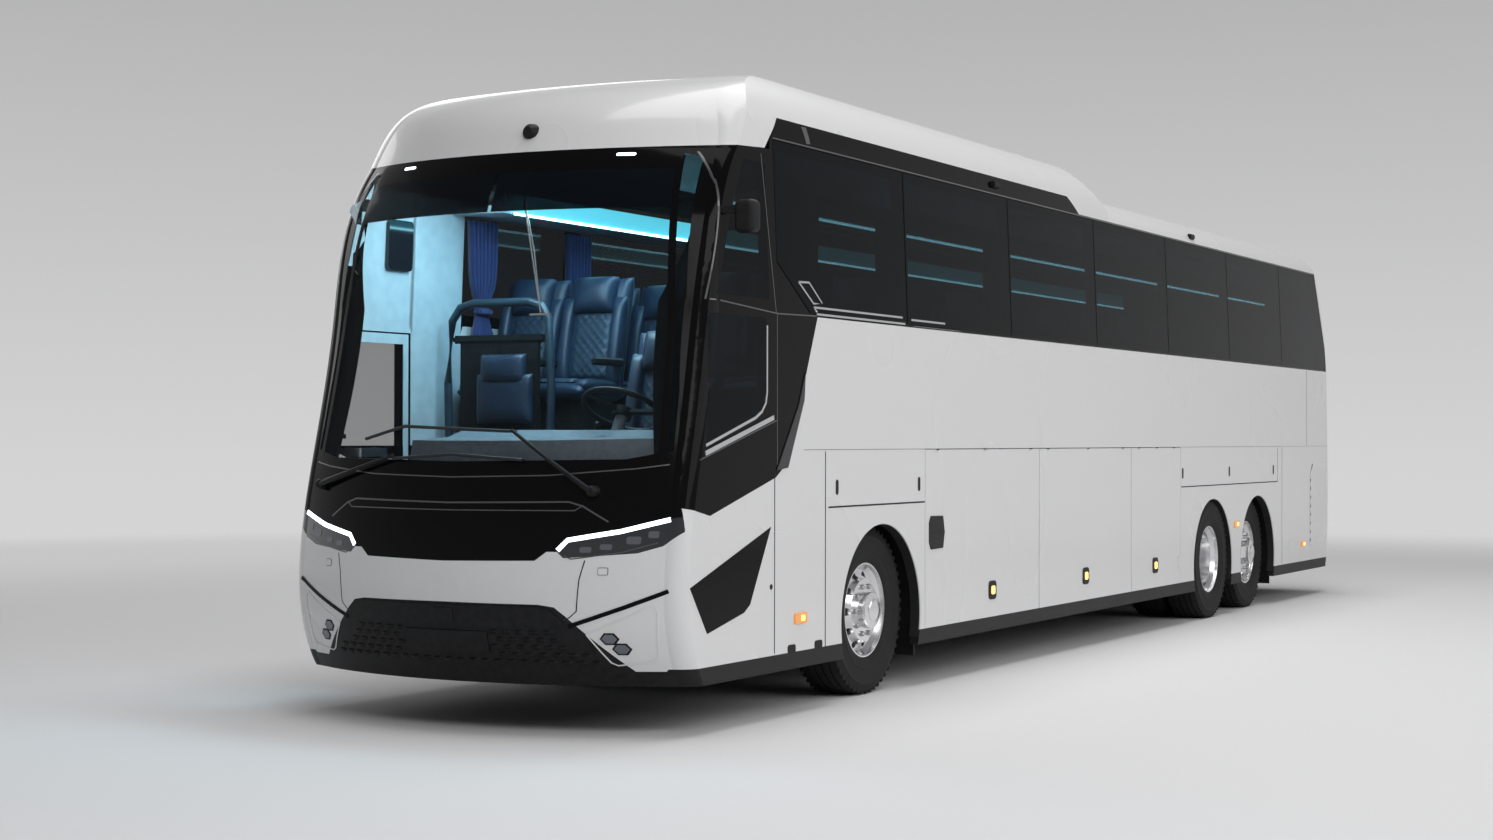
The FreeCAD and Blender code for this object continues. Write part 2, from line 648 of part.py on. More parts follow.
def door_pivot(shaft, sign):
    """Where the arm meets the leaf: as far from the shaft as the door's travel and stand-off need."""
    chord = math.hypot(travel, stand_off)
    swing = 2 * math.atan2(travel, stand_off)
    radius = chord / 2 / math.sin(swing / 2)
    return Vector(shaft.x - sign * radius, shaft.y, 0), swing


def door_arm(shaft, pivot, swing, sign, level):
    """Gooseneck arm, drawn with the door open, then swung shut about the shaft."""
    elbow = Vector(shaft.x, shaft.y - stand_off, level)
    open_pivot = Vector(pivot.x + sign * travel, elbow.y, level)
    wide = 2 * arm_half_wide
    low = level - arm_half_high
    first = Part.makeBox(wide, stand_off, 2 * arm_half_high, Vector(shaft.x - arm_half_wide, elbow.y, low))
    second = Part.makeBox(abs(open_pivot.x - elbow.x), wide, 2 * arm_half_high,
                          Vector(min(open_pivot.x, elbow.x), elbow.y - arm_half_wide, low))
    corner = Part.makeCylinder(arm_half_wide, 2 * arm_half_high, Vector(elbow.x, elbow.y, low))
    eye = Part.makeCylinder(arm_pin_r + 9, 2 * arm_half_high, Vector(open_pivot.x, open_pivot.y, low))
    bore = Part.makeCylinder(arm_pin_r + run_clear, 2 * arm_half_high,
                             Vector(open_pivot.x, open_pivot.y, low))
    arm = first.fuse(second).fuse(corner).fuse(eye).cut(bore)
    arm.rotate(Vector(shaft.x, shaft.y, 0), Vector(0, 0, 1), -sign * math.degrees(swing))
    return arm


def door(name, outline, shaft, sign):
    """Leaf, glass and arms of one outward-swinging door on the right side."""
    pivot, swing = door_pivot(shaft, sign)
    leaf = skin.common(side_prism(outline(sill_z + 15, -edge - 2), -1))
    pane = pane_skin.common(side_prism(door_window(outline(sill_z, -edge - 2), 60), -1))
    rebate = pane_skin.common(side_prism(door_window(outline(sill_z, -edge - 2), 58), -1))
    leaf = leaf.cut(rebate).cut(side_prism(door_window(outline(sill_z, -edge - 2), 85), -1))
    inner_y = -(half - wall)
    leaf = leaf.cut(Part.makeBox(2 * far, half, far, Vector(-far, inner_y + 2, 0)))
    rail_level = arm_levels[name][1]
    if rail_level < belt_z:
        rail_low = rail_level - arm_half_high - 2 - lug_thick
        rail_high = 2 * (arm_half_high + 2 + lug_thick)
        leaf = leaf.fuse(Part.makeBox(door_rail_long, door_rail_thick, rail_high,
                                      Vector(door_back_x + 50, inner_y - door_rail_thick + 3, rail_low)))
    shaft_low = skirt_z + 23
    arms = Part.makeCylinder(shaft_r, shaft_tops[name] - shaft_low, Vector(shaft.x, shaft.y, shaft_low))
    for level in arm_levels[name]:
        arms = arms.fuse(door_arm(shaft, pivot, swing, sign, level))
        for low in (level - arm_half_high - 2 - lug_thick, level + arm_half_high + 2):
            lug = Part.makeBox(44, shaft_inset + 25, lug_thick, Vector(pivot.x - 22, inner_y - 5, low))
            leaf = leaf.fuse(lug)
        pin_low = level - arm_half_high - 2 - lug_thick
        leaf = leaf.fuse(Part.makeCylinder(arm_pin_r, 2 * (arm_half_high + 2 + lug_thick),
                                           Vector(pivot.x, pivot.y, pin_low)))
    fixed(name + "_leaf", together([leaf]))
    fixed(name + "_glass", together([pane]))
    fixed(name + "_arms", arms)


door("front_door", front_door_outline, front_shaft, 1)
door("mid_door", mid_door_outline, mid_shaft, -1)

# Black sills under both sides.

sill_ring = skin.common(Part.makeBox(2 * far, 4 * half, skirt_z, Vector(-far, -2 * half, 0)))
sill_ring = sill_ring.cut(tail_region).cut(front_region)
for axle_x in (front_axle_x, drive_axle_x, tag_axle_x):
    for sign in (1, -1):
        sill_ring = sill_ring.cut(arch_hole(axle_x, sign, number("archRadius")))
sill_ring = sill_ring.cut(side_prism(front_door_outline(-10, 0),
                                     -1)).cut(side_prism(mid_door_outline(-10, 0), -1))
fixed("sills", together([sill_ring]))

# Cabin floor: saloon deck with side coves, lower cockpit floor with a step wall, a stairwell at each door.

deck_front_x = cab_x - 60
floor_edge = half - wall
deck_z = number("deckTop")
deck_low_z = number("deckTop - deckThick")
cockpit_z = number("cockpitTop")
cockpit_low_z = number("cockpitTop - deckThick")
plate = 30
end_plate_thick = 20
seam = 1
well_start = floor_edge - 8
well_reach = {"front": 755, "mid": 815}


def stairwell(x0, x1, low, high, count, reach):
    """Treads and risers that climb inwards from the right side, then the two end plates beside them."""
    run = (reach - plate) / count
    rise = (high - low) / count
    top = []
    under = []
    for step in range(count):
        y = -well_start + step * run
        z = low + step * rise
        top += [(y, z), (y + run, z)]
        under += [(y + (plate if step else 0), z - plate), (y + run + plate, z - plate)]
    top.append((-well_start + reach - plate, high))
    under.append((-well_start + reach, high))
    inset = end_plate_thick + seam
    pieces = [prism(top + list(reversed(under)), "yz", x0 + inset, x1 - inset)]
    for end_x in (x0, x1 - end_plate_thick):
        pieces.append(Part.makeBox(end_plate_thick, reach, high - low + plate,
                                   Vector(end_x, -well_start, low - plate)))
    return Part.makeCompound(pieces)


front_well = (door_back_x - 20, door_front_x + 25)
mid_well = (mid_door_back_x - 25, mid_door_front_x + 25)
front_flight = stairwell(front_well[0], front_well[1], skirt_z + 20, cockpit_z, 2, well_reach["front"])
front_flight = front_flight.common(clear_of_walls)
mid_flight = stairwell(mid_well[0], mid_well[1], skirt_z + 20, deck_z, 3, well_reach["mid"])


def well_hole(well, reach):
    return Part.makeBox(well[1] - well[0], 2 * half - well_start + reach, far, Vector(well[0], -2 * half, 0))


deck = inside.common(Part.makeBox(deck_front_x + 2 * far, 4 * half, number("deckThick"),
                                  Vector(-2 * far, -2 * half, deck_low_z)))
flap_zone = (rear_seam_x - 10, arch_back_x + 10)
flap_zone_long = flap_zone[1] - flap_zone[0]
cove_wide = 40
cove_top_z = belt_z + 65
coves = []
for sign in (1, -1):
    y0 = floor_edge - edge - 2
    slot = Part.makeBox(flap_zone_long, 4 * half, far, Vector(flap_zone[0],
                                                              y0 if sign > 0 else -y0 - 4 * half, 0))
    deck = deck.cut(slot)
    low_part = Part.makeBox(flap_zone_long, y0 - floor_edge + cove_wide, belt_z + 5 - deck_z,
                            Vector(flap_zone[0], floor_edge - cove_wide if sign > 0 else -y0, deck_z))
    high_part = Part.makeBox(flap_zone_long, cove_wide, cove_top_z - belt_z - 5,
                             Vector(flap_zone[0], floor_edge - cove_wide if sign > 0 else -floor_edge,
                                    belt_z + 5))
    cove = low_part.fuse(high_part)
    coves.append(cove.cut(well_hole(mid_well, well_reach["mid"])).removeSplitter())
deck = deck.cut(well_hole(mid_well, well_reach["mid"]))
fixed("side_coves", together(coves))
cockpit = inside.common(Part.makeBox(far, 4 * half, number("deckThick"),
                                     Vector(deck_front_x, -2 * half, cockpit_low_z)))
step_wall = Part.makeBox(40, 2 * (floor_edge - 2), deck_low_z - cockpit_low_z - seam,
                         Vector(deck_front_x - 40, -floor_edge + 2, cockpit_low_z))
cockpit = cockpit.fuse(step_wall).cut(well_hole(front_well, well_reach["front"]))
steps = []
for shaft, flight in ((front_shaft, front_flight), (mid_shaft, mid_flight)):
    boss = Part.makeCylinder(shaft_r + 14, 26, Vector(shaft.x, shaft.y, skirt_z + 20))
    boss = boss.common(Part.makeBox(200, 200, far, Vector(shaft.x - 100, -floor_edge + gap, 0)))
    socket = Part.makeCylinder(shaft_r + run_clear, 30, Vector(shaft.x, shaft.y, skirt_z + 22.5))
    for solid in flight.Solids:
        carries = solid.BoundBox.XLength > 5 * end_plate_thick
        steps.append(solid.fuse(boss).cut(socket) if carries else solid)
fixed("cabin_floor", together([deck.removeSplitter(), cockpit.removeSplitter()]))
fixed("entry_steps", together(steps, 500000.0))

# Luggage hold between the axles: floor and bulkheads up to the deck.

hold_front_x = arch_back_x - 20
hold_back_x = rear_seam_x + 60
hold_floor_z = number("luggageTop - luggageThick")
hold_half = floor_edge - gap
hold = Part.makeBox(hold_front_x - hold_back_x, 2 * hold_half, number("luggageThick"),
                    Vector(hold_back_x, -hold_half, hold_floor_z))
for bulkhead_x in (hold_back_x, luggage_end_x - 15, split_x - 15, hold_front_x - plate):
    hold = hold.fuse(Part.makeBox(plate, 2 * hold_half, deck_low_z - hold_floor_z,
                                  Vector(bulkhead_x, -hold_half, hold_floor_z)))
fixed("luggage_hold", together([hold.cut(well_hole(mid_well, well_reach["mid"])).removeSplitter()]))

# Wheel boxes: black liners behind the arches, with mud flaps behind the front and last wheels.

liner_r = number("linerRadius")
liner_t = 18
liner_low_z = axle_z + 120
liner_deep = number("linerDepth")
flap_width = liner_deep - 170


def wheel_box(axle_x, sign, mud_flap):
    """Round liner over one wheel, open below, closed on the inside above the frame."""
    start_y = floor_edge
    along = Vector(0, -sign, 0)
    outer = Part.makeCylinder(liner_r + liner_t, liner_deep, Vector(axle_x, sign * start_y, axle_z), along)
    inner = Part.makeCylinder(liner_r, liner_deep + 2, Vector(axle_x, sign * (start_y + 1), axle_z), along)
    end_y = sign * (start_y - liner_deep + liner_t)
    end_plate = Part.makeCylinder(liner_r + 2, liner_t, Vector(axle_x, end_y, axle_z), along)
    end_plate = end_plate.common(Part.makeBox(4 * liner_r, 4 * half, far,
                                              Vector(axle_x - 2 * liner_r, -2 * half, 810)))
    box = outer.cut(inner).fuse(end_plate)
    box = box.common(Part.makeBox(4 * liner_r, 4 * half, 2 * liner_r,
                                  Vector(axle_x - 2 * liner_r, -2 * half, liner_low_z)))
    if mud_flap:
        y0 = sign * start_y if sign < 0 else sign * start_y - flap_width
        flap = Part.makeBox(14, flap_width, liner_low_z + 60 - 190, Vector(axle_x - liner_r - 12, y0, 190))
        box = box.fuse(flap)
    return box


fixed("wheel_boxes", together([
    wheel_box(axle_x, sign, axle_x != drive_axle_x)
    for axle_x in (front_axle_x, drive_axle_x, tag_axle_x) for sign in (1, -1)]))

# Frame rails of the front and rear modules; the hold carries the load between them.

rail_y = number("railSpacing / 2")
rail_z = number("railBottom")
rail_high = number("railHeight")
rail_wide = number("railWidth")
bay_front_x = tag_axle_x - 1150
tail_end_x = -front_end + 380
modules = []
for back_x, fore_x, ties in ((hold_front_x, front_end - 560, (3700, 4700, 5500, 6300)),
                              (tail_end_x, hold_back_x, (-1850, -3440, bay_front_x, tail_end_x))):
    module = None
    for sign in (1, -1):
        rail = Part.makeBox(fore_x - back_x, rail_wide, rail_high,
                            Vector(back_x, sign * rail_y - rail_wide / 2, rail_z))
        module = rail if module is None else module.fuse(rail)
    for tie_x in ties:
        module = module.fuse(Part.makeBox(60, 2 * rail_y, 100, Vector(tie_x, -rail_y, rail_z + 30)))
    modules.append(module.removeSplitter())
fixed("frame_rails", together(modules))

# Engine: one block across the frame behind the last axle.

engine_front_x = bay_front_x - 60
engine_length = 1150
engine_half = rail_y - rail_wide / 2
engine = Part.makeBox(engine_length, 2 * (engine_half - 30), 760,
                      Vector(engine_front_x - engine_length, -engine_half + 30, rail_z - 60))
for foot_x in (engine_front_x - 200, engine_front_x - engine_length + 120):
    engine = engine.fuse(Part.makeBox(80, 2 * engine_half, 60, Vector(foot_x, -engine_half, rail_z + 60)))
fixed("engine", engine.removeSplitter())

# Wheels: tyre and disc rim turned from their half sections, hand holes cut, nuts on the hub.

steer_x = "coachLength / 2 - frontOverhang"
drive_x = "coachLength / 2 - frontOverhang - wheelBase"
tag_x = "coachLength / 2 - frontOverhang - wheelBase - tagGap"
tyre_half = "tyreWidth / 2"


def tyre_profile(centre):
    """Closed half section of one tyre about its own middle, at some distance along the axle."""
    right = [("rimRadius - 5.8", 111), ("tyreRadius - 115", tyre_half),
             ("tyreRadius - 30", "tyreWidth / 2 - 4"),
             ("tyreRadius", "tyreWidth / 2 - 38")]
    left = [(r, "-(%s)" % y) for r, y in reversed(right)]
    return [(r, "%s + %s" % (y, centre)) for r, y in left + right]


def rim_lip(y, way):
    """Flange and bead seat of a rim, from outside in."""
    return [("rimRadius", y), ("rimRadius - 6", y - way * 10), ("rimRadius - 6", y - way * 32)]


hub_bore = "stubRadius + runClear"
steer_rim = (rim_lip(122, 1) + [(262, 60), (262, -60)] + rim_lip(-122, -1)[::-1] + [
    (280, -122), (274, -95), (250, -62), (250, 50), (205, 62), (180, 98), (105, 95), (105, -45),
    (hub_bore, -45),
    (hub_bore, 165), (0, 165), (0, 185), (60, 185), (110, 175), (110, 124), (190, 118), (215, 80), (250, 72),
    (274, 98), (280, 122)])
twin_rim = (rim_lip(287, 1) + [(262, 225), (262, 105)] + rim_lip(43, -1)[::-1] + [
    (280, 43), (274, 70), (252, 92), (185, 0)] + [
    (252, -92), (274, -70), (280, -43)] + rim_lip(-43, 1) + [(262, -105), (262, -225)] + rim_lip(-287,
                                                                                                 -1)[::-1] + [
    (280, -287), (274, -260), (250, -227), (250, -118), (180, -24), (130, -24), (130, -60), (hub_bore, -60),
    (hub_bore, 150), (0, 150), (0, 175), (85, 170), (105, 150), (105, 24), (180, 24), (250, 118), (250, 227),
    (274, 260), (280, 287)])


def wheel(name, axle_expression, track, sign, twin):
    """One road wheel: its tyre or pair of tyres, and its rim with hand holes and nuts."""
    at = (axle_expression, "%s(%s)" % ("" if sign > 0 else "-", track), "tyreRadius")
    centres = ["twinPitch / 2", "-twinPitch / 2"] if twin else ["0"]
    tyres = [turned("%s_tyre_%d" % (name, k), tyre_profile(centre), at, sign < 0)
             for k, centre in enumerate(centres, start=1)]
    if twin:
        pair = doc.addObject("Part::Compound", name + "_tyres")
        pair.Links = tyres
    else:
        tyres[0].Label = name + "_tyre"
    rim = turned(name + "_disc", twin_rim if twin else steer_rim, at, sign < 0)
    nut_y, nut_length = (24, 30) if twin else (100, 42)
    holes = []
    nuts = []
    side_y = "%s(%s)" % ("" if sign > 0 else "-", track)
    for k in range(10):
        turn = 2 * math.pi * k / 10
        for items, radius, size, low, length in ((holes, 215, 26, -60, 220),
                                                 (nuts, 150, 15, nut_y - 10, nut_length)):
            item = doc.addObject("Part::Cylinder", "%s_spot_%d_%d" % (name, k, size))
            item.Radius = size
            item.Height = length
            item.Placement.Rotation = Rotation(Vector(1, 0, 0), -90 * sign)
            set_place(item, ("%s + %.6f" % (axle_expression, radius * math.cos(turn)),
                             "%s + %d" % (side_y, sign * low),
                             "tyreRadius + %.6f" % (radius * math.sin(turn))))
            items.append(item)
    drilled = cut_out(name + "_drilled", rim, holes)
    joined(name + "_rim", [drilled] + nuts)


for side, sign in (("left", 1), ("right", -1)):
    wheel("steer_%s" % side, steer_x, "steerTrack / 2", sign, False)
    wheel("drive_%s" % side, drive_x, "twinTrack / 2", sign, True)
    wheel("tag_%s" % side, tag_x, "steerTrack / 2", sign, False)

# Front axle: dropped beam with an eye at each end. The knuckle's pin turns in the eye.

kingpin_y = number("steerTrack / 2 - kingpinOffset")
kingpin_r = number("kingpinRadius")
eye_r = number("eyeRadius")
stub_r = number("stubRadius")
eye_half = 65
beam_half = 45


def mirrored_outline(points):
    return points + [(-y, z) for y, z in reversed(points)]


beam_outline = mirrored_outline([
    (0, axle_z - 35), (560, axle_z - 35), (620, axle_z + 57), (kingpin_y - 20, axle_z + 57),
    (kingpin_y - 20, axle_z - 57), (650, axle_z - 57), (590, axle_z - 135), (0, axle_z - 135)])
beam = prism(beam_outline[1:7] + beam_outline[9:15], "yz", front_axle_x - beam_half, front_axle_x + beam_half)
for sign in (1, -1):
    spot = Vector(front_axle_x, sign * kingpin_y, axle_z - eye_half)
    beam = beam.fuse(Part.makeCylinder(eye_r, 2 * eye_half, spot))
for sign in (1, -1):
    spot = Vector(front_axle_x, sign * kingpin_y, axle_z - eye_half - 5)
    beam = beam.cut(Part.makeCylinder(kingpin_r + run_clear, 2 * eye_half + 10, spot))
fixed("front_axle", together([beam.removeSplitter()]))

for side, sign in (("left", 1), ("right", -1)):
    pin_low = Vector(front_axle_x, sign * kingpin_y, axle_z - eye_half - 15)
    knuckle = Part.makeCylinder(kingpin_r, 2 * eye_half + 30, pin_low)
    web_near = sign * (kingpin_y + eye_r + 4)
    web_y = min(web_near, web_near + sign * 26)
    knuckle = knuckle.fuse(Part.makeBox(2 * eye_r, 26, 2 * eye_half + 30,
                                        Vector(front_axle_x - eye_r, web_y, pin_low.z)))
    for low in (pin_low.z, axle_z + eye_half + 2):
        ear = Part.makeCylinder(eye_r, 13, Vector(front_axle_x, sign * kingpin_y, low))
        reach_y = min(sign * kingpin_y, web_near)
        ear = ear.fuse(Part.makeBox(2 * eye_r, eye_r + 4, 13, Vector(front_axle_x - eye_r, reach_y, low)))
        knuckle = knuckle.fuse(ear)
    stub_start = Vector(front_axle_x, sign * (kingpin_y + eye_r + 10), axle_z)
    stub_end = number("steerTrack / 2") + 160
    knuckle = knuckle.fuse(Part.makeCylinder(stub_r, stub_end - abs(stub_start.y), stub_start,
                                             Vector(0, sign, 0)))
    fixed("knuckle_%s" % side, knuckle.removeSplitter())

# Rear axles with their trailing arms, and air bellows under the rails.

arm_z = axle_z - 45
arm_high = 90
drive_tube = 75
tag_tube = 60
stub_back = 62
rear_axles = []
bellows = []
bellow_r = 110


def axle_arms(axle_x, axle, reach):
    for sign in (1, -1):
        arm = Part.makeBox(2 * reach, 80, arm_high, Vector(axle_x - reach, sign * rail_y - 40, arm_z))
        axle = axle.fuse(arm)
        for way in (1, -1):
            base_z = arm_z + arm_high
            spot = Vector(axle_x + way * (reach - 120), sign * rail_y, base_z)
            middle = (rail_z - base_z) / 2
            bellow = Part.makeCone(bellow_r - 18, bellow_r, middle, spot)
            bellow = bellow.fuse(Part.makeCone(bellow_r, bellow_r - 18, middle, spot + Vector(0, 0, middle)))
            bellows.append(bellow)
    return axle


stub_length = number("twinTrack / 2") + 145
drive = Part.makeCylinder(drive_tube, 2 * (number("twinTrack / 2") - 75), Vector(
    drive_axle_x, -(number("twinTrack / 2") - 75), axle_z), Vector(0, 1, 0))
drive = drive.fuse(Part.makeCylinder(stub_r, 2 * stub_length, Vector(drive_axle_x, -stub_length, axle_z),
                                     Vector(0, 1, 0)))
drive = drive.fuse(Part.makeSphere(205, Vector(drive_axle_x, 0, axle_z)).common(
    Part.makeBox(500, 300, 410, Vector(drive_axle_x - 250, -150, axle_z - 205 + 60))))
rear_axles.append(axle_arms(drive_axle_x, drive, 480))
tag_half = number("steerTrack / 2")
tag = Part.makeCylinder(tag_tube, 2 * (tag_half - stub_back), Vector(tag_axle_x, -(tag_half - stub_back),
                                                                     axle_z), Vector(0, 1, 0))
tag = tag.fuse(Part.makeCylinder(stub_r, 2 * (tag_half + 150),
                                 Vector(tag_axle_x, -(tag_half + 150), axle_z), Vector(0, 1, 0)))
rear_axles.append(axle_arms(tag_axle_x, tag, 430))
fixed("rear_axles", together(rear_axles))
for sign in (1, -1):
    base_z = axle_z - 35
    spot = Vector(front_axle_x, sign * rail_y, base_z)
    middle = (rail_z - base_z) / 2
    bellow = Part.makeCone(bellow_r - 18, bellow_r, middle, spot)
    bellows.append(bellow.fuse(Part.makeCone(bellow_r, bellow_r - 18, middle, spot + Vector(0, 0, middle))))
fixed("air_bellows", together(bellows))

# Inside: seats in pairs on plinths, driver's seat, dashboard, steering wheel on its column, luggage racks.

seat_wide = number("seatWidth")
seat_high = number("seatHeight")
seat_pitch = number("seatPitch")


def seat_pair(front_edge, low_z, y0, width, deep=480):
    """One moulded seat or pair in side view: plinth, cushion, reclined back and headrest."""
    x = front_edge
    outline = [
        (x - 60, low_z), (x - 60, low_z + seat_high - 120), (x, low_z + seat_high - 100),
        (x, low_z + seat_high),
        (x - deep + 60, low_z + seat_high - 25), (x - deep - 95, low_z + 1120),
        (x - deep - 175, low_z + 1140),
        (x - deep - 195, low_z + 1090), (x - deep - 70, low_z + seat_high - 60),
        (x - deep + 60, low_z + seat_high - 120),
        (x - deep + 60, low_z)]
    return prism(outline, "xz", y0, y0 + width)


pair_wide = 2 * seat_wide + 20
seats = []
first_row_x = deck_front_x - 330
for row in range(int(number("seatRows"))):
    seat_x = first_row_x - row * seat_pitch
    seats.append(seat_pair(seat_x, deck_z, floor_edge - 60 - pair_wide, pair_wide))
    if not mid_well[0] - 60 < seat_x < mid_well[1] + 720:
        seats.append(seat_pair(seat_x, deck_z, -floor_edge + 60, pair_wide))
driver_seat = seat_pair(deck_front_x + 640, cockpit_z, 380, 480)
seats.append(driver_seat)
fixed("seats", together(seats))

dash_body = prism([
    (front_end - 640, cockpit_z), (far, cockpit_z), (far, belt_z - 70), (front_end - 560, belt_z + 70),
    (front_end - 700, belt_z + 110), (front_end - 800, belt_z + 30), (front_end - 760, belt_z - 60),
    (front_end - 660, belt_z - 160)], "xz", -360, floor_edge)
dash_side = prism([
    (door_front_x + 45, cockpit_z), (far, cockpit_z), (far, belt_z - 80), (door_front_x + 60, belt_z - 70)],
    "xz", -floor_edge, -350)
dash = inside.common(dash_body.fuse(dash_side))
column_foot = Vector(front_end - 690, 620, belt_z - 20)
wheel_lean = Vector(-0.5, 0, 0.866)
column_length = 230
wheel_hub = column_foot + wheel_lean * column_length
dash = dash.fuse(Part.makeCylinder(34, column_length, column_foot, wheel_lean))
socket_deep = 60
dash = dash.cut(Part.makeCylinder(12 + run_clear, socket_deep + 5, wheel_hub - wheel_lean * socket_deep,
                                  wheel_lean))
fixed("dashboard", together([dash]))

wheel_r = number("steeringWheelRadius")
rim_centre = wheel_hub + wheel_lean * 45
steering = Part.makeTorus(wheel_r, 16, rim_centre, wheel_lean)
steering = steering.fuse(Part.makeCylinder(12, socket_deep - 2, wheel_hub - wheel_lean * (socket_deep - 2),
                                           wheel_lean))
steering = steering.fuse(Part.makeCylinder(55, 50, wheel_hub + wheel_lean * 0.3, wheel_lean))
for turn in (90, 210, 330):
    spoke = Part.makeBox(wheel_r, 36, 18, Vector(0, -18, -9))
    spoke.rotate(Vector(0, 0, 0), Vector(0, 0, 1), turn)
    spoke.Placement = FreeCAD.Placement(rim_centre - wheel_lean * 12,
                                        Rotation(Vector(0, 0, 1), wheel_lean)).multiply(spoke.Placement)
    steering = steering.fuse(spoke)
fixed("steering_wheel", steering)

rack_z = 2950
racks = []
rack_back_x = -front_end + 700
rack_length = deck_front_x - 300 - rack_back_x
for sign in (1, -1):
    shelf = prism([
        (sign * 800, rack_z), (sign * 2 * half, rack_z + 20), (sign * 2 * half, rack_z + 60),
        (sign * 860, rack_z + 45),
        (sign * 790, rack_z + 120), (sign * 760, rack_z + 110)], "yz", rack_back_x, rack_back_x + rack_length)
    racks.append(inside.common(shelf))
fixed("luggage_racks", together(racks))

# Small pieces on the outside: side markers and the camera pods that stand for mirrors.

markers = []
for lamp_x in (front_axle_x - 5980, front_axle_x - 7840, front_axle_x - 9500):
    for sign in (1, -1):
        markers.append(Part.makeBox(150, 8, 100, Vector(lamp_x - 75, sign * half - (0 if sign > 0 else 8),
                                                        490)))
fixed("side_markers", together(markers))

pods = []
pod_size = Vector(110, 120, 180)
for sign, pod_x, pod_z in ((1, front_axle_x + 1980, 2750), (-1, front_axle_x + 1730, 2310)):
    skin_y = sign * (half - 30)
    arm = Part.makeBox(60, 130, 36, Vector(pod_x - 30, skin_y if sign > 0 else skin_y - 130, pod_z + 20))
    head_y = skin_y + sign * 90
    head = Part.makeBox(pod_size.x, pod_size.y, pod_size.z, Vector(
        pod_x - pod_size.x / 2, head_y if sign > 0 else head_y - pod_size.y, pod_z - pod_size.z / 2))
    pods.append(arm.fuse(head.makeFillet(34, head.Edges)).cut(outside))
fixed("camera_pods", together(pods))

# Export: every labelled piece goes to its own file.

doc.recompute()
helpers = set()
for item in doc.Objects:
    if "Invalid" in item.State or "Error" in item.State:
        raise RuntimeError("failed: " + item.Name)
    for child in item.OutList:
        helpers.add(child.Name)
os.makedirs("parts", exist_ok=True)
for old in os.listdir("parts"):
    os.remove(os.path.join("parts", old))
written = 0
for item in doc.Objects:
    solid_type = item.TypeId.startswith("Part::") or item.TypeId == "PartDesign::Body"
    if not solid_type or item.Name in helpers:
        continue
    if item.Shape.isNull() or not item.Shape.isValid():
        raise RuntimeError("bad shape: " + item.Name)
    item.Shape.exportStep("parts/%s.step" % item.Label)
    written += 1
print("pieces written:", written)
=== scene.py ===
import math

import bmesh
import bpy
from mathutils import Matrix, Vector
from mathutils.bvhtree import BVHTree


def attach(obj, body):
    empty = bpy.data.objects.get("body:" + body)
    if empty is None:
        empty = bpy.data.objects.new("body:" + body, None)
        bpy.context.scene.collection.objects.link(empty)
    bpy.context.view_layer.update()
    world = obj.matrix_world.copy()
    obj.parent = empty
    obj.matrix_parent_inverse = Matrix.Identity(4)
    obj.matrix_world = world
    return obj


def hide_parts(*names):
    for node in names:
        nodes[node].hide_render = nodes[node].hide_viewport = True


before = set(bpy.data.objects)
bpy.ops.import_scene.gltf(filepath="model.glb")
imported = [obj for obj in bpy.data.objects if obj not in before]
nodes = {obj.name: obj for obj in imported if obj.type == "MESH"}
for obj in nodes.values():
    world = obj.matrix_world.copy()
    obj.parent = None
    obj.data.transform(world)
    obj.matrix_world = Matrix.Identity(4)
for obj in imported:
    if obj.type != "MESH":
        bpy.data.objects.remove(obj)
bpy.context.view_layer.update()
print("frame loaded:", len(nodes), "nodes")

# places along the coach, in metres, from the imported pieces
coach = {"frontAxle": 4.2, "driveAxle": -2.73, "tagAxle": -4.15, "axleZ": 0.515}
sideSigns = ((1, "left"), (-1, "right"))

# materials


def shaderInput(material, name):
    return material.node_tree.nodes["Principled BSDF"].inputs[name]


def newMaterial(name, colour, rough=0.5, metal=0.0, coat=0.0, alpha=1.0, sheen=0.0, glow=0.0,
                glowColour=None):
    made = bpy.data.materials.new(name)
    made.use_nodes = True
    values = {"Base Color": (*colour, 1), "Roughness": rough, "Metallic": metal, "Coat Weight": coat,
              "Coat Roughness": 0.04, "Alpha": alpha, "Sheen Weight": sheen}
    if glow:
        values.update({"Emission Color": (*(glowColour or colour), 1), "Emission Strength": glow})
    for key, value in values.items():
        shaderInput(made, key).default_value = value
    return made


def link(material, source, target):
    material.node_tree.links.new(source, target)


def addNode(material, kind, *sources, **values):
    # a node with some inputs or settings given, its first inputs linked to the sources
    node = material.node_tree.nodes.new(kind)
    for key, value in values.items():
        if key in node.inputs:
            node.inputs[key].default_value = value
        else:
            setattr(node, key, value)
    for socket, source in zip(node.inputs, sources):
        link(material, source, socket)
    return node


def noiseOf(material, scale, detail=3.0, stretch=(1, 1, 1)):
    # noise on object coordinates, stretched along an axis
    place = addNode(material, "ShaderNodeTexCoord")
    turn = addNode(material, "ShaderNodeMapping", place.outputs["Object"], Scale=stretch)
    return addNode(material, "ShaderNodeTexNoise", turn.outputs["Vector"], Scale=scale, Detail=detail)


def rampOf(material, source, dark, light, low=0.0, high=1.0):
    ramp = addNode(material, "ShaderNodeValToRGB", source)
    for element, colour, place in zip(ramp.color_ramp.elements, (dark, light), (low, high)):
        element.color = (*colour, 1)
        element.position = place
    return ramp.outputs["Color"]


def varyRoughness(material, noise, low, high):
    spread = addNode(material, "ShaderNodeMapRange", noise.outputs["Fac"], **{"To Min": low, "To Max": high})
    link(material, spread.outputs["Result"], shaderInput(material, "Roughness"))


def addBump(material, source, strength, distance=0.001):
    bump = addNode(material, "ShaderNodeBump", Strength=strength, Distance=distance)
    link(material, source, bump.inputs["Height"])
    link(material, bump.outputs["Normal"], shaderInput(material, "Normal"))


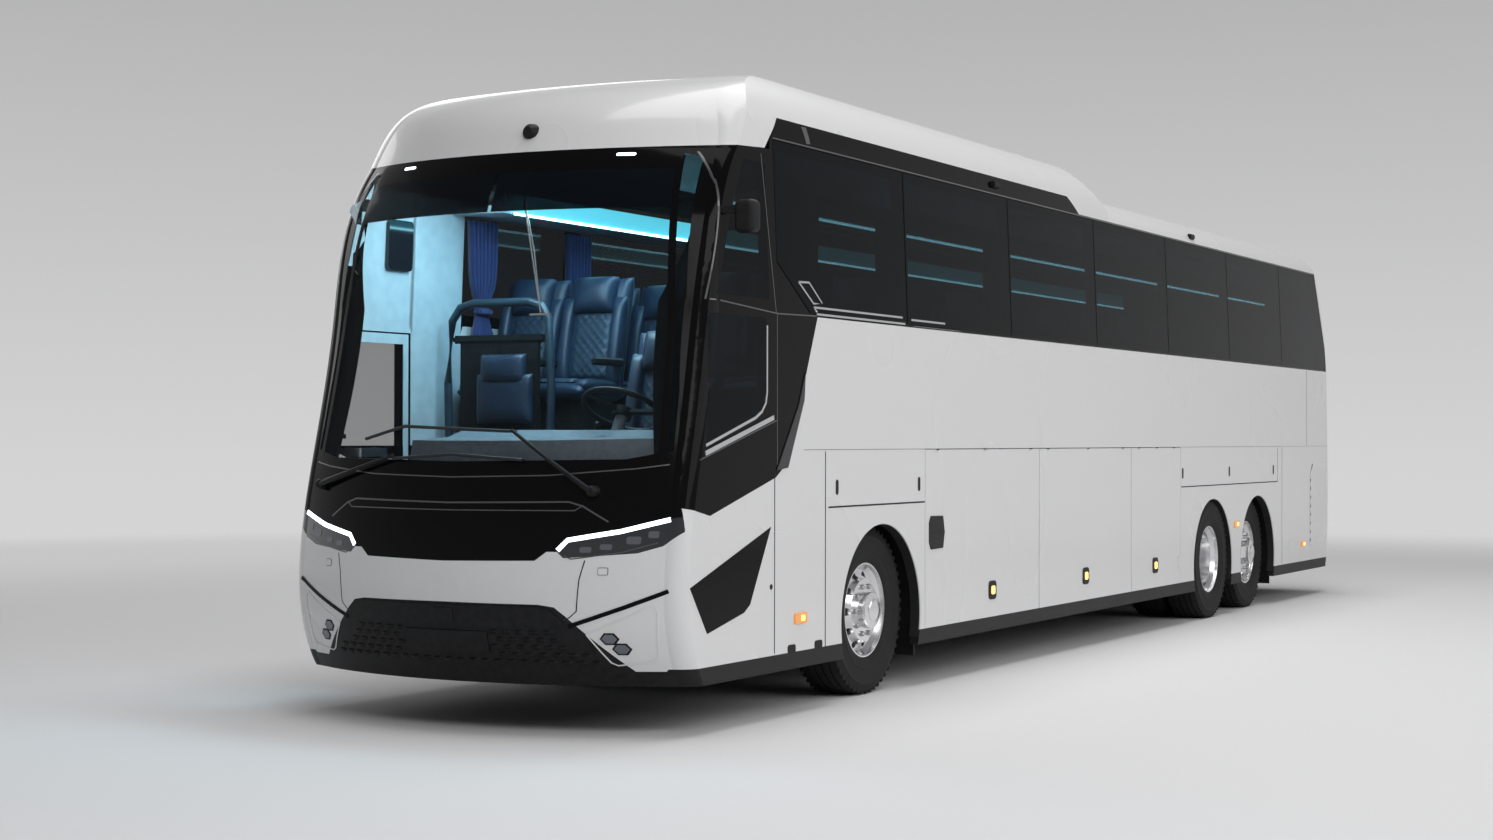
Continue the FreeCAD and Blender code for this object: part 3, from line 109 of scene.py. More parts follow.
def varied(name, colours, ramp, rough, noises, bump, **more):
    # two close colours and a changing gloss over the broad noise, a bump from the fine one
    made = newMaterial(name, colours[1], sum(rough) / 2, **more)
    broad, fine = [noiseOf(made, *noise) for noise in noises]
    link(made, rampOf(made, broad.outputs["Fac"], *colours, *ramp), shaderInput(made, "Base Color"))
    varyRoughness(made, broad, *rough)
    addBump(made, fine.outputs["Fac"], *bump)
    return made


def grainy(name, dark, light, grain, strength, rough, **more):
    # moulded plastic, rubber or cloth
    return varied(name, (dark, light), (0.35, 0.65), rough, ((grain * 0.05,), (grain,)), (strength,), **more)


def painted(name, dark, light, rough, coat, peel):
    # clear-coated paint with a faint orange peel and a little colour drift
    return varied(name, (dark, light), (0.0, 1.0), rough, ((0.9, 0.0), (160.0, 2.0)), (peel, 0.00003),
                  coat=coat)


paint = {
    "white": painted("whitePaint", (0.708, 0.708, 0.712), (0.714, 0.714, 0.718), (0.27, 0.28), 0.5, 0.03),
    "black": painted("glossBlack", (0.0025, 0.0025, 0.003), (0.004, 0.004, 0.0045), (0.09, 0.13), 0.06, 0.02),
    "satinBlack": grainy("satinBlack", (0.010, 0.010, 0.011), (0.016, 0.016, 0.017), 500.0, 0.15,
                         (0.38, 0.5)),
    "sill": grainy("sillPlastic", (0.007, 0.007, 0.0075), (0.011, 0.011, 0.012), 420.0, 0.25, (0.42, 0.55)),
    "rubber": grainy("tyreRubber", (0.008, 0.008, 0.008), (0.014, 0.014, 0.0145), 260.0, 0.3, (0.62, 0.8)),
    "seal": grainy("rubberSeal", (0.006, 0.006, 0.006), (0.01, 0.01, 0.01), 400.0, 0.2, (0.5, 0.65)),
    "chassis": grainy("chassisPaint", (0.02, 0.02, 0.022), (0.04, 0.04, 0.043), 90.0, 0.2, (0.45, 0.65)),
    "floor": grainy("floorCovering", (0.035, 0.037, 0.042), (0.05, 0.052, 0.06), 300.0, 0.2, (0.5, 0.65)),
    "hold": grainy("holdLining", (0.09, 0.09, 0.095), (0.12, 0.12, 0.125), 200.0, 0.25, (0.6, 0.75)),
    "dash": grainy("dashPlastic", (0.10, 0.13, 0.16), (0.13, 0.17, 0.20), 520.0, 0.3, (0.5, 0.62)),
    "lining": grainy("cabinLining", (0.42, 0.50, 0.54), (0.48, 0.56, 0.6), 260.0, 0.12, (0.55, 0.7)),
    "leather": grainy("seatLeather", (0.008, 0.018, 0.04), (0.014, 0.032, 0.065), 140.0, 0.35, (0.38, 0.5)),
    "curtain": grainy("curtainCloth", (0.008, 0.018, 0.09), (0.014, 0.03, 0.13), 320.0, 0.3, (0.75, 0.9),
                      sheen=0.3),
    "chrome": newMaterial("polishedAlloy", (0.78, 0.78, 0.79), 0.12, 1.0),
    "steel": newMaterial("brightSteel", (0.55, 0.55, 0.56), 0.3, 1.0),
    "screenGlass": newMaterial("screenGlass", (0.02, 0.028, 0.032), 0.03, alpha=0.14),
    "sideGlass": newMaterial("tintedGlass", (0.003, 0.004, 0.005), 0.03, alpha=0.86),
    "doorGlass": newMaterial("doorGlass", (0.012, 0.016, 0.016), 0.03, alpha=0.3),
    "edgeGrey": newMaterial("edgeGrey", (0.05, 0.05, 0.053), 0.25, coat=0.6),
    "clearLens": newMaterial("clearLens", (0.5, 0.52, 0.55), 0.04, coat=1.0, alpha=0.25),
    "darkLens": newMaterial("darkLens", (0.01, 0.012, 0.016), 0.04, coat=1.0),
    "redLens": newMaterial("redLens", (0.28, 0.008, 0.01), 0.08, coat=1.0),
    "amberLens": newMaterial("amberLens", (0.8, 0.28, 0.02), 0.12, coat=1.0, glow=0.25,
                             glowColour=(1.0, 0.42, 0.05)),
    "amberGlow": newMaterial("amberGlow", (1.0, 0.5, 0.08), 0.3, glow=3.0, glowColour=(1.0, 0.55, 0.12)),
    "dayLight": newMaterial("dayLight", (1, 1, 1), 0.3, glow=3.0, glowColour=(0.80, 0.91, 1.0)),
    "stripLight": newMaterial("stripLight", (0.5, 0.9, 1.0), 0.3, glow=9.0, glowColour=(0.32, 0.82, 1.0)),
    "silver": newMaterial("satinSilver", (0.66, 0.67, 0.68), 0.26, 1.0),
    "pillarTrim": grainy("pillarTrim", (0.020, 0.018, 0.021), (0.028, 0.025, 0.029), 300.0, 0.1, (0.3, 0.4)),
    "shadowGap": newMaterial("shadowGap", (0.006, 0.006, 0.006), 0.7),
    "railBlue": grainy("railBlue", (0.012, 0.028, 0.045), (0.018, 0.04, 0.06), 300.0, 0.1, (0.3, 0.42)),
    "quilt": grainy("quiltedLeather", (0.010, 0.024, 0.045), (0.018, 0.04, 0.07), 140.0, 0.3, (0.45, 0.6)),
    "rackGlow": newMaterial("rackGlow", (0.10, 0.35, 0.42), 0.4, glow=0.9, glowColour=(0.10, 0.62, 0.75)),
    "louvreShade": newMaterial("louvreShade", (0.10, 0.10, 0.10), 0.6),
    "blind": newMaterial("sunBlind", (0.004, 0.006, 0.009), 0.1, alpha=0.88),
    "reflector": newMaterial("lampReflector", (0.16, 0.17, 0.19), 0.2, 1.0),
}
specularLevels = {"black": 0.05, "satinBlack": 0.14, "darkLens": 0.2, "sideGlass": 0.05, "screenGlass": 0.07,
                  "doorGlass": 0.12, "blind": 0.05, "sill": 0.25, "rubber": 0.3}
for key, level in specularLevels.items():
    shaderInput(paint[key], "Specular IOR Level").default_value = level
varyRoughness(paint["chrome"], noiseOf(paint["chrome"], 14.0, stretch=(1, 6, 1)), 0.17, 0.24)
varyRoughness(paint["steel"], noiseOf(paint["steel"], 60.0), 0.22, 0.4)
quiltPlace = addNode(paint["quilt"], "ShaderNodeTexCoord")
quiltTurn = addNode(paint["quilt"], "ShaderNodeMapping", quiltPlace.outputs["Object"],
                    Rotation=(math.radians(45), 0, 0))
quiltCells = addNode(paint["quilt"], "ShaderNodeTexVoronoi", quiltTurn.outputs["Vector"], Scale=24.0,
                     Randomness=0.0)
addBump(paint["quilt"], quiltCells.outputs["Distance"], 0.8, 0.01)
print("materials made")


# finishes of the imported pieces

finishOf = {
    "white": ["roof", "front_bumper", "side_walls", "lower_panels", "rear_wall", "engine_lid",
              "side_markers", *[name for name in nodes if name.startswith("luggage_flap")]],
    "black": ["roof_hatches", "front_mask", "window_frames", "cab_sides", "front_door_leaf", "mid_door_leaf"],
    "screenGlass": ["windscreen"],
    "sideGlass": ["window_glass", "rear_window"],
    "doorGlass": ["front_door_glass", "mid_door_glass"],
    "darkLens": ["headlamps"],
    "redLens": ["tail_lamps"],
    "satinBlack": ["lower_grille", "camera_pods", "steering_wheel"],
    "sill": ["sills", "rear_bumper", "wheel_boxes"],
    "rubber": [name for name in nodes if "tyre" in name] + ["air_bellows"],
    "chrome": [name for name in nodes if name.endswith("_rim")],
    "chassis": ["frame_rails", "engine", "front_axle", "rear_axles", "knuckle_left", "knuckle_right"],
    "steel": ["front_door_arms", "mid_door_arms"],
    "floor": ["cabin_floor", "side_coves", "entry_steps"],
    "hold": ["luggage_hold"],
    "dash": ["dashboard"],
    "lining": ["luggage_racks"],
    "leather": ["seats"],
}
for finish, names in finishOf.items():
    for name in names:
        nodes[name].data.materials.clear()
        nodes[name].data.materials.append(paint[finish])
print("finishes set")


# mesh helpers


def linked(name, data):
    made = bpy.data.objects.new(name, data)
    bpy.context.scene.collection.objects.link(made)
    return made


def meshOf(name, work):
    shape = bpy.data.meshes.new(name)
    work.to_mesh(shape)
    work.free()
    return shape


def welded(work):
    bmesh.ops.remove_doubles(work, verts=work.verts, dist=1e-6)
    bmesh.ops.recalc_face_normals(work, faces=work.faces)
    return work


def fromBmesh(name, work, finish, body="coach", smooth=True, sharp=35.0):
    # a new piece that rides on a body
    shape = meshOf(name, welded(work))
    shape.materials.append(paint[finish])
    for face in shape.polygons:
        face.use_smooth = smooth
    piece = linked(name, shape)
    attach(piece, body)
    if smooth:
        shape.set_sharp_from_angle(angle=math.radians(sharp))
    return piece


def bridge(work, rings):
    # walls between closed rings that have the same number of corners
    for one, two in zip(rings, rings[1:]):
        for i in range(len(one)):
            j = (i + 1) % len(one)
            work.faces.new((one[i], one[j], two[j], two[i]))


def latheInto(work, profile, centre, steps, axis="y", sign=1):
    # turns a closed (radius, along) profile about the x or y axis through the centre
    rings = []
    for k in range(steps):
        turn = 2 * math.pi * k / steps
        ring = []
        for radius, along in profile:
            a, b = radius * math.cos(turn), radius * math.sin(turn)
            spot = (a, sign * along, b) if axis == "y" else (along, a, b)
            ring.append(work.verts.new(Vector(centre) + Vector(spot)))
        rings.append(ring)
    for one, two in zip(rings, rings[1:] + rings[:1]):
        for i, (radius, _) in enumerate(profile):
            j = (i + 1) % len(profile)
            if radius or profile[j][0]:
                work.faces.new((one[i], one[j], two[j], two[i]))


def tubeInto(work, points, radius, sides=10):
    # a round bar along points, with flat ends and one radius, or one for each point
    points = [Vector(p) for p in points]
    rings = []
    for k, spot in enumerate(points):
        ahead = (points[min(k + 1, len(points) - 1)] - points[max(k - 1, 0)]).normalized()
        across = ahead.cross(Vector((0, 0, 1)))
        if across.length < 0.05:
            across = ahead.cross(Vector((0, 1, 0)))
        across.normalize()
        over = across.cross(ahead)
        size = radius[k] if isinstance(radius, (list, tuple)) else radius
        rings.append([work.verts.new(spot + (across * math.cos(t) + over * math.sin(t)) * size)
                      for t in (2 * math.pi * i / sides for i in range(sides))])
    bridge(work, rings)
    work.faces.new(rings[0])
    work.faces.new(rings[-1][::-1])


def blockInto(work, low, high, soften=0.0, segments=2):
    # a box between two corners, its edges rounded if wanted
    made = bmesh.ops.create_cube(work, size=1.0)["verts"]
    for v in made:
        v.co = Vector([l + (h - l) * (c + 0.5) for l, h, c in zip(Vector(low), Vector(high), v.co)])
    if soften:
        edges = list({e for v in made for e in v.link_edges})
        bmesh.ops.bevel(work, geom=edges, offset=soften, segments=segments, affect="EDGES")


skinTrees = {}


def treeOf(names):
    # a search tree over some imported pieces, to lay trim on their surface
    key = tuple(names)
    if key not in skinTrees:
        points, faces = [], []
        for name in names:
            base = len(points)
            points += [v.co.copy() for v in nodes[name].data.vertices]
            faces += [[base + i for i in face.vertices] for face in nodes[name].data.polygons]
        skinTrees[key] = BVHTree.FromPolygons(points, faces)
    return skinTrees[key]


def hitFrom(names, spot, way):
    # the first point of some pieces that a line from the spot meets, or None
    return treeOf(names).ray_cast(Vector(spot), Vector(way))[0]


# where the lines that look for the skin start, and how far apart a patch is cut
skin = {"sideFrom": 3.0, "endFrom": 12.0, "grid": 0.05}


def projector(plane, sign=1, names=("roof",)):
    # from outline coordinates to the skin: side takes (x, z), front and tail take (y, z)
    def lay(a, b):
        if plane == "side":
            return hitFrom(names, (a, sign * skin["sideFrom"], b), (0, -sign, 0))
        ahead = 1 if plane == "front" else -1
        return hitFrom(names, (ahead * skin["endFrom"], a, b), (-ahead, 0, 0))
    return lay


def cutFlat(flat, spot, normal, **more):
    bmesh.ops.bisect_plane(flat, geom=flat.verts[:] + flat.edges[:] + flat.faces[:], plane_co=spot,
                           plane_no=normal, **more)


def griddedFlat(outline, grid):
    # a flat face, cut by a grid
    flat = bmesh.new()
    flat.faces.new([flat.verts.new((a, b, 0)) for a, b in outline])
    for axis in (0, 1):
        values = [p[axis] for p in outline]
        spot = math.ceil(min(values) / grid) * grid
        while spot < max(values):
            cutFlat(flat, (0, spot, 0) if axis else (spot, 0, 0), (0, 1, 0) if axis else (1, 0, 0))
            spot += grid
    return flat


def shellInto(work, flat, top, under):
    # both sides of a shell and the wall round it, from the new place of each vertex of a flat
    for face in flat.faces:
        work.faces.new([top[v] for v in face.verts])
        work.faces.new([under[v] for v in reversed(face.verts[:])])
    for edge in flat.edges:
        if len(edge.link_faces) == 1:
            a, b = edge.verts
            work.faces.new((top[a], top[b], under[b], under[a]))
    flat.free()


def skinPatch(name, outlines, plane, names, finish, sign=1, lift=0.002, sink=0.004, body="coach", slot=None):
    # thin trim that lies on the skin; a vertex beside the skin takes the place of the one before it
    outward = {"side": Vector((0, sign, 0)), "front": Vector((1, 0, 0)), "tail": Vector((-1, 0, 0))}[plane]
    lay = projector(plane, sign, names)
    work = bmesh.new()
    for outline in outlines:
        flat = griddedFlat(outline, skin["grid"])
        hits = [lay(v.co.x, v.co.y) for v in flat.verts]
        for k in range(1, len(hits)):
            hits[k] = hits[k] or hits[k - 1]
        if hits[-1] is None:
            flat.free()
            continue
        laid = [(v, hit or hits[-1]) for v, hit in zip(flat.verts, hits)]
        top = {v: work.verts.new(hit + outward * lift) for v, hit in laid}
        under = {v: work.verts.new(hit - outward * sink) for v, hit in laid}
        shellInto(work, flat, top, under)
    return fromBmesh(name, work, finish, body, sharp=30.0)


def ribbon(points, width):
    # outline of a band of some width along a line of (a, b) points
    left, right = [], []
    for k, (a, b) in enumerate(points):
        before, after = points[max(k - 1, 0)], points[min(k + 1, len(points) - 1)]
        along = Vector((after[0] - before[0], after[1] - before[1])).normalized()
        side = Vector((-along.y, along.x)) * width / 2
        left.append((a + side.x, b + side.y))
        right.append((a - side.x, b - side.y))
    return left + right[::-1]


def roundRect(a, b, wide, high, radius, steps=4, lean=0.0):
    # a rounded rectangle about a centre, its top pushed along by a lean
    spots = []
    for cx, cy, start in ((1, 1, 0), (-1, 1, 90), (-1, -1, 180), (1, -1, 270)):
        for k in range(steps + 1):
            turn = math.radians(start + 90 * k / steps)
            x = cx * (wide / 2 - radius) + radius * math.cos(turn)
            y = cy * (high / 2 - radius) + radius * math.sin(turn)
            spots.append((a + x + lean * y / high, b + y))
    return spots


print("helpers ready")

# front: lamps, mask lines, bumper seams, grille, fog lamps

frontNames = ("windscreen", "front_mask", "front_bumper", "lower_grille", "headlamps", "cab_sides",
              "lower_panels", "roof")
sideFixed = ("side_walls", "window_frames", "window_glass", "cab_sides", "lower_panels", "front_mask",
             "front_bumper", "roof", "sills", "rear_wall")
sideNames = tuple(name for name in nodes if name in sideFixed or name.startswith("luggage_flap") or
                  name.endswith("_door_leaf"))


def mirrored(outline):
    return [(-a, b) for a, b in outline]


def bothWays(outline):
    return [outline, mirrored(outline)]


def frontTrim(name, outlines, finish, lift=0.002, **more):
    return skinPatch(name, outlines, "front", frontNames, finish, lift=lift, **more)


frontLines = {
    "daylight": [(0.659, 0.981), (0.706, 1.034), (0.967, 1.081), (1.19, 1.143)],
    "screenSeam": [(-1.155, 1.428), (-1.004, 1.406), (-0.567, 1.369), (0, 1.357), (0.567, 1.369),
                   (1.004, 1.406), (1.155, 1.428)],
    "trapezoidTop": [(-0.9, 1.13), (-0.765, 1.21), (-0.69, 1.232), (0, 1.222), (0.69, 1.232), (0.765, 1.21),
                     (0.9, 1.13)],
    "trapezoidLow": [(-0.765, 1.213), (-0.725, 1.187), (0, 1.183), (0.725, 1.187), (0.765, 1.213)],
    "bumperSeam": [(0.8, 0.93), (0.775, 0.83), (0.76, 0.665), (0.72, 0.63), (0.69, 0.62)],
    "diagonal": [(0.714, 0.585), (0.84, 0.63), (0.995, 0.688), (1.11, 0.735), (1.2, 0.773)],
}
frontTrim("daylight_strips", bothWays(ribbon(frontLines["daylight"], 0.024)), "dayLight", lift=0.004,
          slot="lamp")
frontTrim("mask_lines", [ribbon(frontLines[key], width) for key, width in (
    ("screenSeam", 0.007), ("trapezoidTop", 0.009), ("trapezoidLow", 0.006))], "edgeGrey", lift=0.0015)
frontTrim("bumper_seams", bothWays(ribbon(frontLines["bumperSeam"], 0.006)), "seal", lift=0.001)
frontTrim("bumper_diagonals", bothWays(ribbon(frontLines["diagonal"], 0.022)), "black", lift=0.003)

lampInner = {
    "projectors": [roundRect(0.80, 0.985, 0.06, 0.03, 0.01), roundRect(0.90, 1.0, 0.06, 0.03, 0.01),
                   roundRect(1.03, 1.035, 0.07, 0.04, 0.012), roundRect(1.12, 1.065, 0.05, 0.036, 0.01)],
    "rim": ribbon([(0.69, 0.955), (0.73, 0.936), (0.976, 0.972), (1.14, 1.022)], 0.006),
}
frontTrim("lamp_projectors", [o for outline in lampInner["projectors"] for o in bothWays(outline)],
          "reflector", lift=0.002, slot="lamp")
frontTrim("lamp_rims", bothWays(lampInner["rim"]), "edgeGrey", lift=0.002)


def hexagon(a, b, wide, high):
    return [(a - wide / 2, b), (a - wide / 4, b + high / 2), (a + wide / 4, b + high / 2), (a + wide / 2, b),
            (a + wide / 4, b - high / 2), (a - wide / 4, b - high / 2)]


fogPlaces = [(0.912, 0.522), (0.965, 0.468)]
frontTrim("fog_bezels", [o for a, b in fogPlaces for o in bothWays(hexagon(a, b, 0.096, 0.062))],
          "satinBlack", lift=0.003)
frontTrim("fog_lenses", [o for a, b in fogPlaces for o in bothWays(hexagon(a, b, 0.076, 0.046))], "reflector",
          lift=0.005, slot="lamp")
cornerLine = [(0.80, 0.545), (1.0, 0.635), (1.13, 0.70), (1.15, 0.66), (1.13, 0.43), (1.1, 0.402),
              (0.93, 0.38), (0.9, 0.395), (0.80, 0.545)]
frontTrim("corner_outline", bothWays(ribbon(cornerLine, 0.007)), "white", lift=0.0035)
frontTrim("washer_caps", bothWays(roundRect(0.892, 0.874, 0.045, 0.034, 0.006)), "white", lift=0.004)
frontTrim("cap_gaps", bothWays(roundRect(0.892, 0.874, 0.051, 0.040, 0.008)), "edgeGrey", lift=0.002)
print("front lamps and lines done")

# lower grille: smooth upper band with a cover, rows of brick-shaped dimples, a bare plate

grille = {
    "band": [(-0.70, 0.60), (-0.62, 0.672), (-0.55, 0.684), (0.55, 0.684), (0.62, 0.672), (0.70, 0.60),
             (0.6, 0.578), (0, 0.572), (-0.6, 0.578)],
    "cover": roundRect(0, 0.628, 0.145, 0.078, 0.01),
    "plate": roundRect(0, 0.490, 0.53, 0.115, 0.006),
    "rows": (0.548, 0.508, 0.468, 0.428, 0.388),
    "rowPitch": 0.075,
    "reach": {"atTop": 0.70, "top": 0.56, "widen": 1.05, "margin": 0.05},
    "bare": {"half": 0.30, "low": 0.42, "high": 0.56},
}
frontTrim("grille_band", [grille["band"]], "satinBlack", lift=0.006)
frontTrim("tow_cover", [grille["cover"]], "satinBlack", lift=0.011)
frontTrim("plate_field", [grille["plate"]], "satinBlack", lift=0.008)

# a lozenge: six corners of its foot, four of its flat top, and its walls by corner number
lozenge = {
    "foot": ((-1, 0.2), (-0.7, 1), (0.7, 1), (1, 0.2), (0.6, -1), (-0.6, -1)),
    "top": ((-0.5, 0.55), (0.5, 0.55), (0.35, 0.0), (-0.35, 0.0)),
    "faces": ((6, 7, 8, 9), (1, 2, 7, 6), (0, 1, 6), (2, 3, 7), (3, 4, 8, 7), (4, 5, 9, 8), (5, 0, 6, 9),
              (5, 4, 3, 2, 1, 0)),
    "wide": 0.062, "high": 0.026, "sink": -0.002, "rise": 0.011,
}


def dimple(work, lay, a, b):
    foot, top = lozenge["foot"], lozenge["top"]
    hits = [lay(a + x * lozenge["wide"] / 2, b + z * lozenge["high"] / 2) for x, z in foot + top]
    if any(hit is None for hit in hits):
        return
    lifts = [lozenge["sink"]] * len(foot) + [lozenge["rise"]] * len(top)
    corners = [work.verts.new(hit + Vector((lift, 0, 0))) for hit, lift in zip(hits, lifts)]
    for loop in lozenge["faces"]:
        work.faces.new([corners[k] for k in loop])


work = bmesh.new()
lay = projector("front", names=("lower_grille",))
reach, bare = grille["reach"], grille["bare"]
for row, b in enumerate(grille["rows"]):
    end = reach["atTop"] + (reach["top"] - b) * reach["widen"]
    count = int(end / grille["rowPitch"])
    for k in range(-count - 1, count + 1):
        a = (k + (0.5 if row % 2 else 0.0)) * grille["rowPitch"]
        behindPlate = abs(a) < bare["half"] and bare["low"] < b < bare["high"]
        if abs(a) <= end - reach["margin"] and not behindPlate:
            dimple(work, lay, a, b)
fromBmesh("grille_dimples", work, "satinBlack", smooth=False)
print("grille done")

# sides: cab seams, window mouldings, panel seams, handles, lamps


def sideTrim(name, outlines, finish, signs=(1, -1), names=sideNames, **more):
    for sign in signs:
        skinPatch(name + ("_left" if sign > 0 else "_right"), outlines, "side", names, finish, sign=sign,
                  **more)


sideLines = {
    "rhomb": [(5.328, 2.455), (5.195, 2.46), (5.032, 2.347), (5.146, 2.341), (5.328, 2.455)],
    "mouldingTop": [(5.146, 2.320), (3.906, 2.320)],
    "mouldingLow": [(5.110, 2.282), (3.868, 2.282)],
    "mouldingNose": [(5.146, 2.322), (5.085, 2.280)],
    "secondTop": [(3.772, 2.312), (3.236, 2.312)],
    "secondLow": [(3.733, 2.278), (2.986, 2.278)],
    "slash": [(5.214, 3.355), (5.15, 3.358), (5.117, 3.265), (5.166, 3.26)],
    "bandTop": [(5.588, 3.247), (4.2, 3.247), (-6.6, 3.247)],
    "frontPane": [(6.143, 3.118), (6.348, 2.304)],
    "rearPane": [(5.738, 3.143), (5.615, 2.26)],
    "cabLine": [(6.33, 2.305), (5.599, 2.262), (5.11, 2.271)],
    "doorLow": [(6.479, 1.452), (5.60, 1.668)],
    "pillarSeam": [(5.605, 2.255), (5.60, 1.42)],
    "pillarStrip": [(5.257, 1.942), (5.272, 1.785), (5.474, 1.402), (5.611, 1.388), (5.345, 1.75)],
    "windowEdge": [(5.728, 2.19), (5.728, 1.82), (5.742, 1.762), (5.79, 1.712), (5.865, 1.678),
                   (6.42, 1.528)],
    "windowSill": [(6.439, 1.486), (5.66, 1.682)],
}
silverLines = [ribbon(sideLines["rhomb"], 0.012)] + [ribbon(sideLines[key], 0.012) for key in (
    "mouldingTop", "mouldingLow", "mouldingNose", "secondTop", "secondLow")]
sideTrim("window_mouldings", silverLines, "silver", lift=0.003)
sideTrim("band_lines", [ribbon(sideLines["bandTop"], 0.008), sideLines["slash"]], "edgeGrey", lift=0.0015)
sideTrim("cab_seams", [ribbon(sideLines[key], 0.007) for key in ("frontPane", "rearPane", "cabLine")],
         "edgeGrey", lift=0.0015)
sideTrim("door_seams", [ribbon(sideLines["doorLow"], 0.006), ribbon(sideLines["pillarSeam"], 0.006)],
         "edgeGrey", signs=(1,), lift=0.0015)
sideTrim("pillar_strip", [sideLines["pillarStrip"]], "pillarTrim", lift=0.006)
sideTrim("driver_window_edge", [ribbon(sideLines["windowEdge"], 0.016)], "silver", signs=(1,), lift=0.004)
sideTrim("driver_window_sill", [ribbon(sideLines["windowSill"], 0.026)], "silver", signs=(1,), lift=0.012)

panelSeams = {
    "belt": ([(5.27, 1.497), (4.0, 1.497), (-6.86, 1.497)], 0.010),
    "arch": ([(4.99, 0.36), (4.99, 1.49)], 0.009),
    "flapLine": ([(4.99, 1.165), (3.56, 1.165)], 0.010),
    "rearFlapLine": ([(-1.80, 1.165), (-4.83, 1.165)], 0.009),
    "rearArch": ([(-4.83, 1.165), (-4.83, 1.49)], 0.004),
    "tail": ([(-5.92, 1.51), (-5.92, 2.255)], 0.004),
    "bay": ([(-4.99, 0.37), (-4.99, 1.49)], 0.003),
}
sideTrim("panel_seams", [ribbon(*panelSeams[key]) for key in (
    "arch", "flapLine", "rearFlapLine", "rearArch", "tail", "bay")], "shadowGap", lift=0.0012)
sideTrim("cab_panel_seam", [ribbon([(5.63, 0.37), (5.63, 1.385)], 0.008)], "shadowGap", signs=(1,),
         lift=0.0012)
sideTrim("belt_seam", [ribbon(*panelSeams["belt"])], "shadowGap", names=("side_walls",), lift=0.0012)
sideTrim("slot_handles", [roundRect(x, 1.28, 0.036, 0.09, 0.017)
                          for x in (4.836, 3.649, -1.84, -3.215, -4.68)], "shadowGap", lift=0.002)
sideTrim("step_notches", [roundRect(x, 0.378, 0.10, 0.05, 0.018) for x in (5.42, 5.08)], "satinBlack",
         lift=0.002)
sideTrim("cab_wedge", [[(6.585, 0.785), (5.675, 1.075), (5.92, 0.66), (5.99, 0.62), (6.40, 0.535)]], "black",
         signs=(1,), lift=0.002)
sideTrim("tow_dot", [roundRect(5.672, 0.742, 0.03, 0.03, 0.0149, 6)], "shadowGap", signs=(1,), lift=0.003)

sideLamps = {
    "amber": [(5.315, 0.546), (-3.44, 0.80), (-5.78, 0.53)],
    "size": (0.15, 0.062),
    "flaps": [("left_1", 1, 2.42), ("left_2", 1, 0.56), ("left_3", 1, -1.10), ("right_1", -1, 2.42),
              ("right_2", -1, 0.56)],
}
wide, high = sideLamps["size"]
sideTrim("amber_markers", [roundRect(x, z, wide, high, 0.012) for x, z in sideLamps["amber"]], "amberLens",
         lift=0.010, slot="amber_lamp")
sideTrim("amber_bulbs", [roundRect(x - 0.02, z, wide * 0.3, high * 0.5, 0.008)
                         for x, z in sideLamps["amber"]], "amberGlow", lift=0.012, slot="amber_lamp")
for tail, sign, x in sideLamps["flaps"]:
    flap = "luggage_flap_" + tail
    skinPatch("lamp_frame_" + tail, [roundRect(x, 0.54, 0.13, 0.125, 0.03)], "side", (flap,), "satinBlack",
              sign, lift=0.006, body=flap)
    skinPatch("lamp_lens_" + tail, [roundRect(x - 0.005, 0.54, 0.058, 0.055, 0.012)], "side", (flap,),
              "amberGlow", sign, lift=0.009, body=flap, slot="amber_lamp")
fuelFlap = [(3.275, 0.862), (3.465, 0.858), (3.492, 0.90), (3.492, 1.03), (3.465, 1.072), (3.275, 1.068),
            (3.248, 0.965)]
flap = "luggage_flap_left_1"
skinPatch("fuel_flap", [fuelFlap], "side", (flap,), "sill", lift=0.006, body=flap)
skinPatch("fuel_flap_line", [ribbon([(3.255, 0.965), (3.49, 0.965)], 0.006)], "side", (flap,), "shadowGap",
          lift=0.008, body=flap)
print("side trims done")

# rear side louvres: slanted slats behind the tag wheel

louvre = {"outline": [(-6.05, 0.50), (-6.06, 1.22), (-6.14, 1.33), (-6.66, 1.33), (-6.70, 1.26),
                      (-6.66, 0.80)],
          "inside": (-6.35, 0.95), "pitch": 0.085, "slope": 0.9, "thick": 0.05, "deep": 0.014,
          "shallow": 0.003, "below": 0.7}


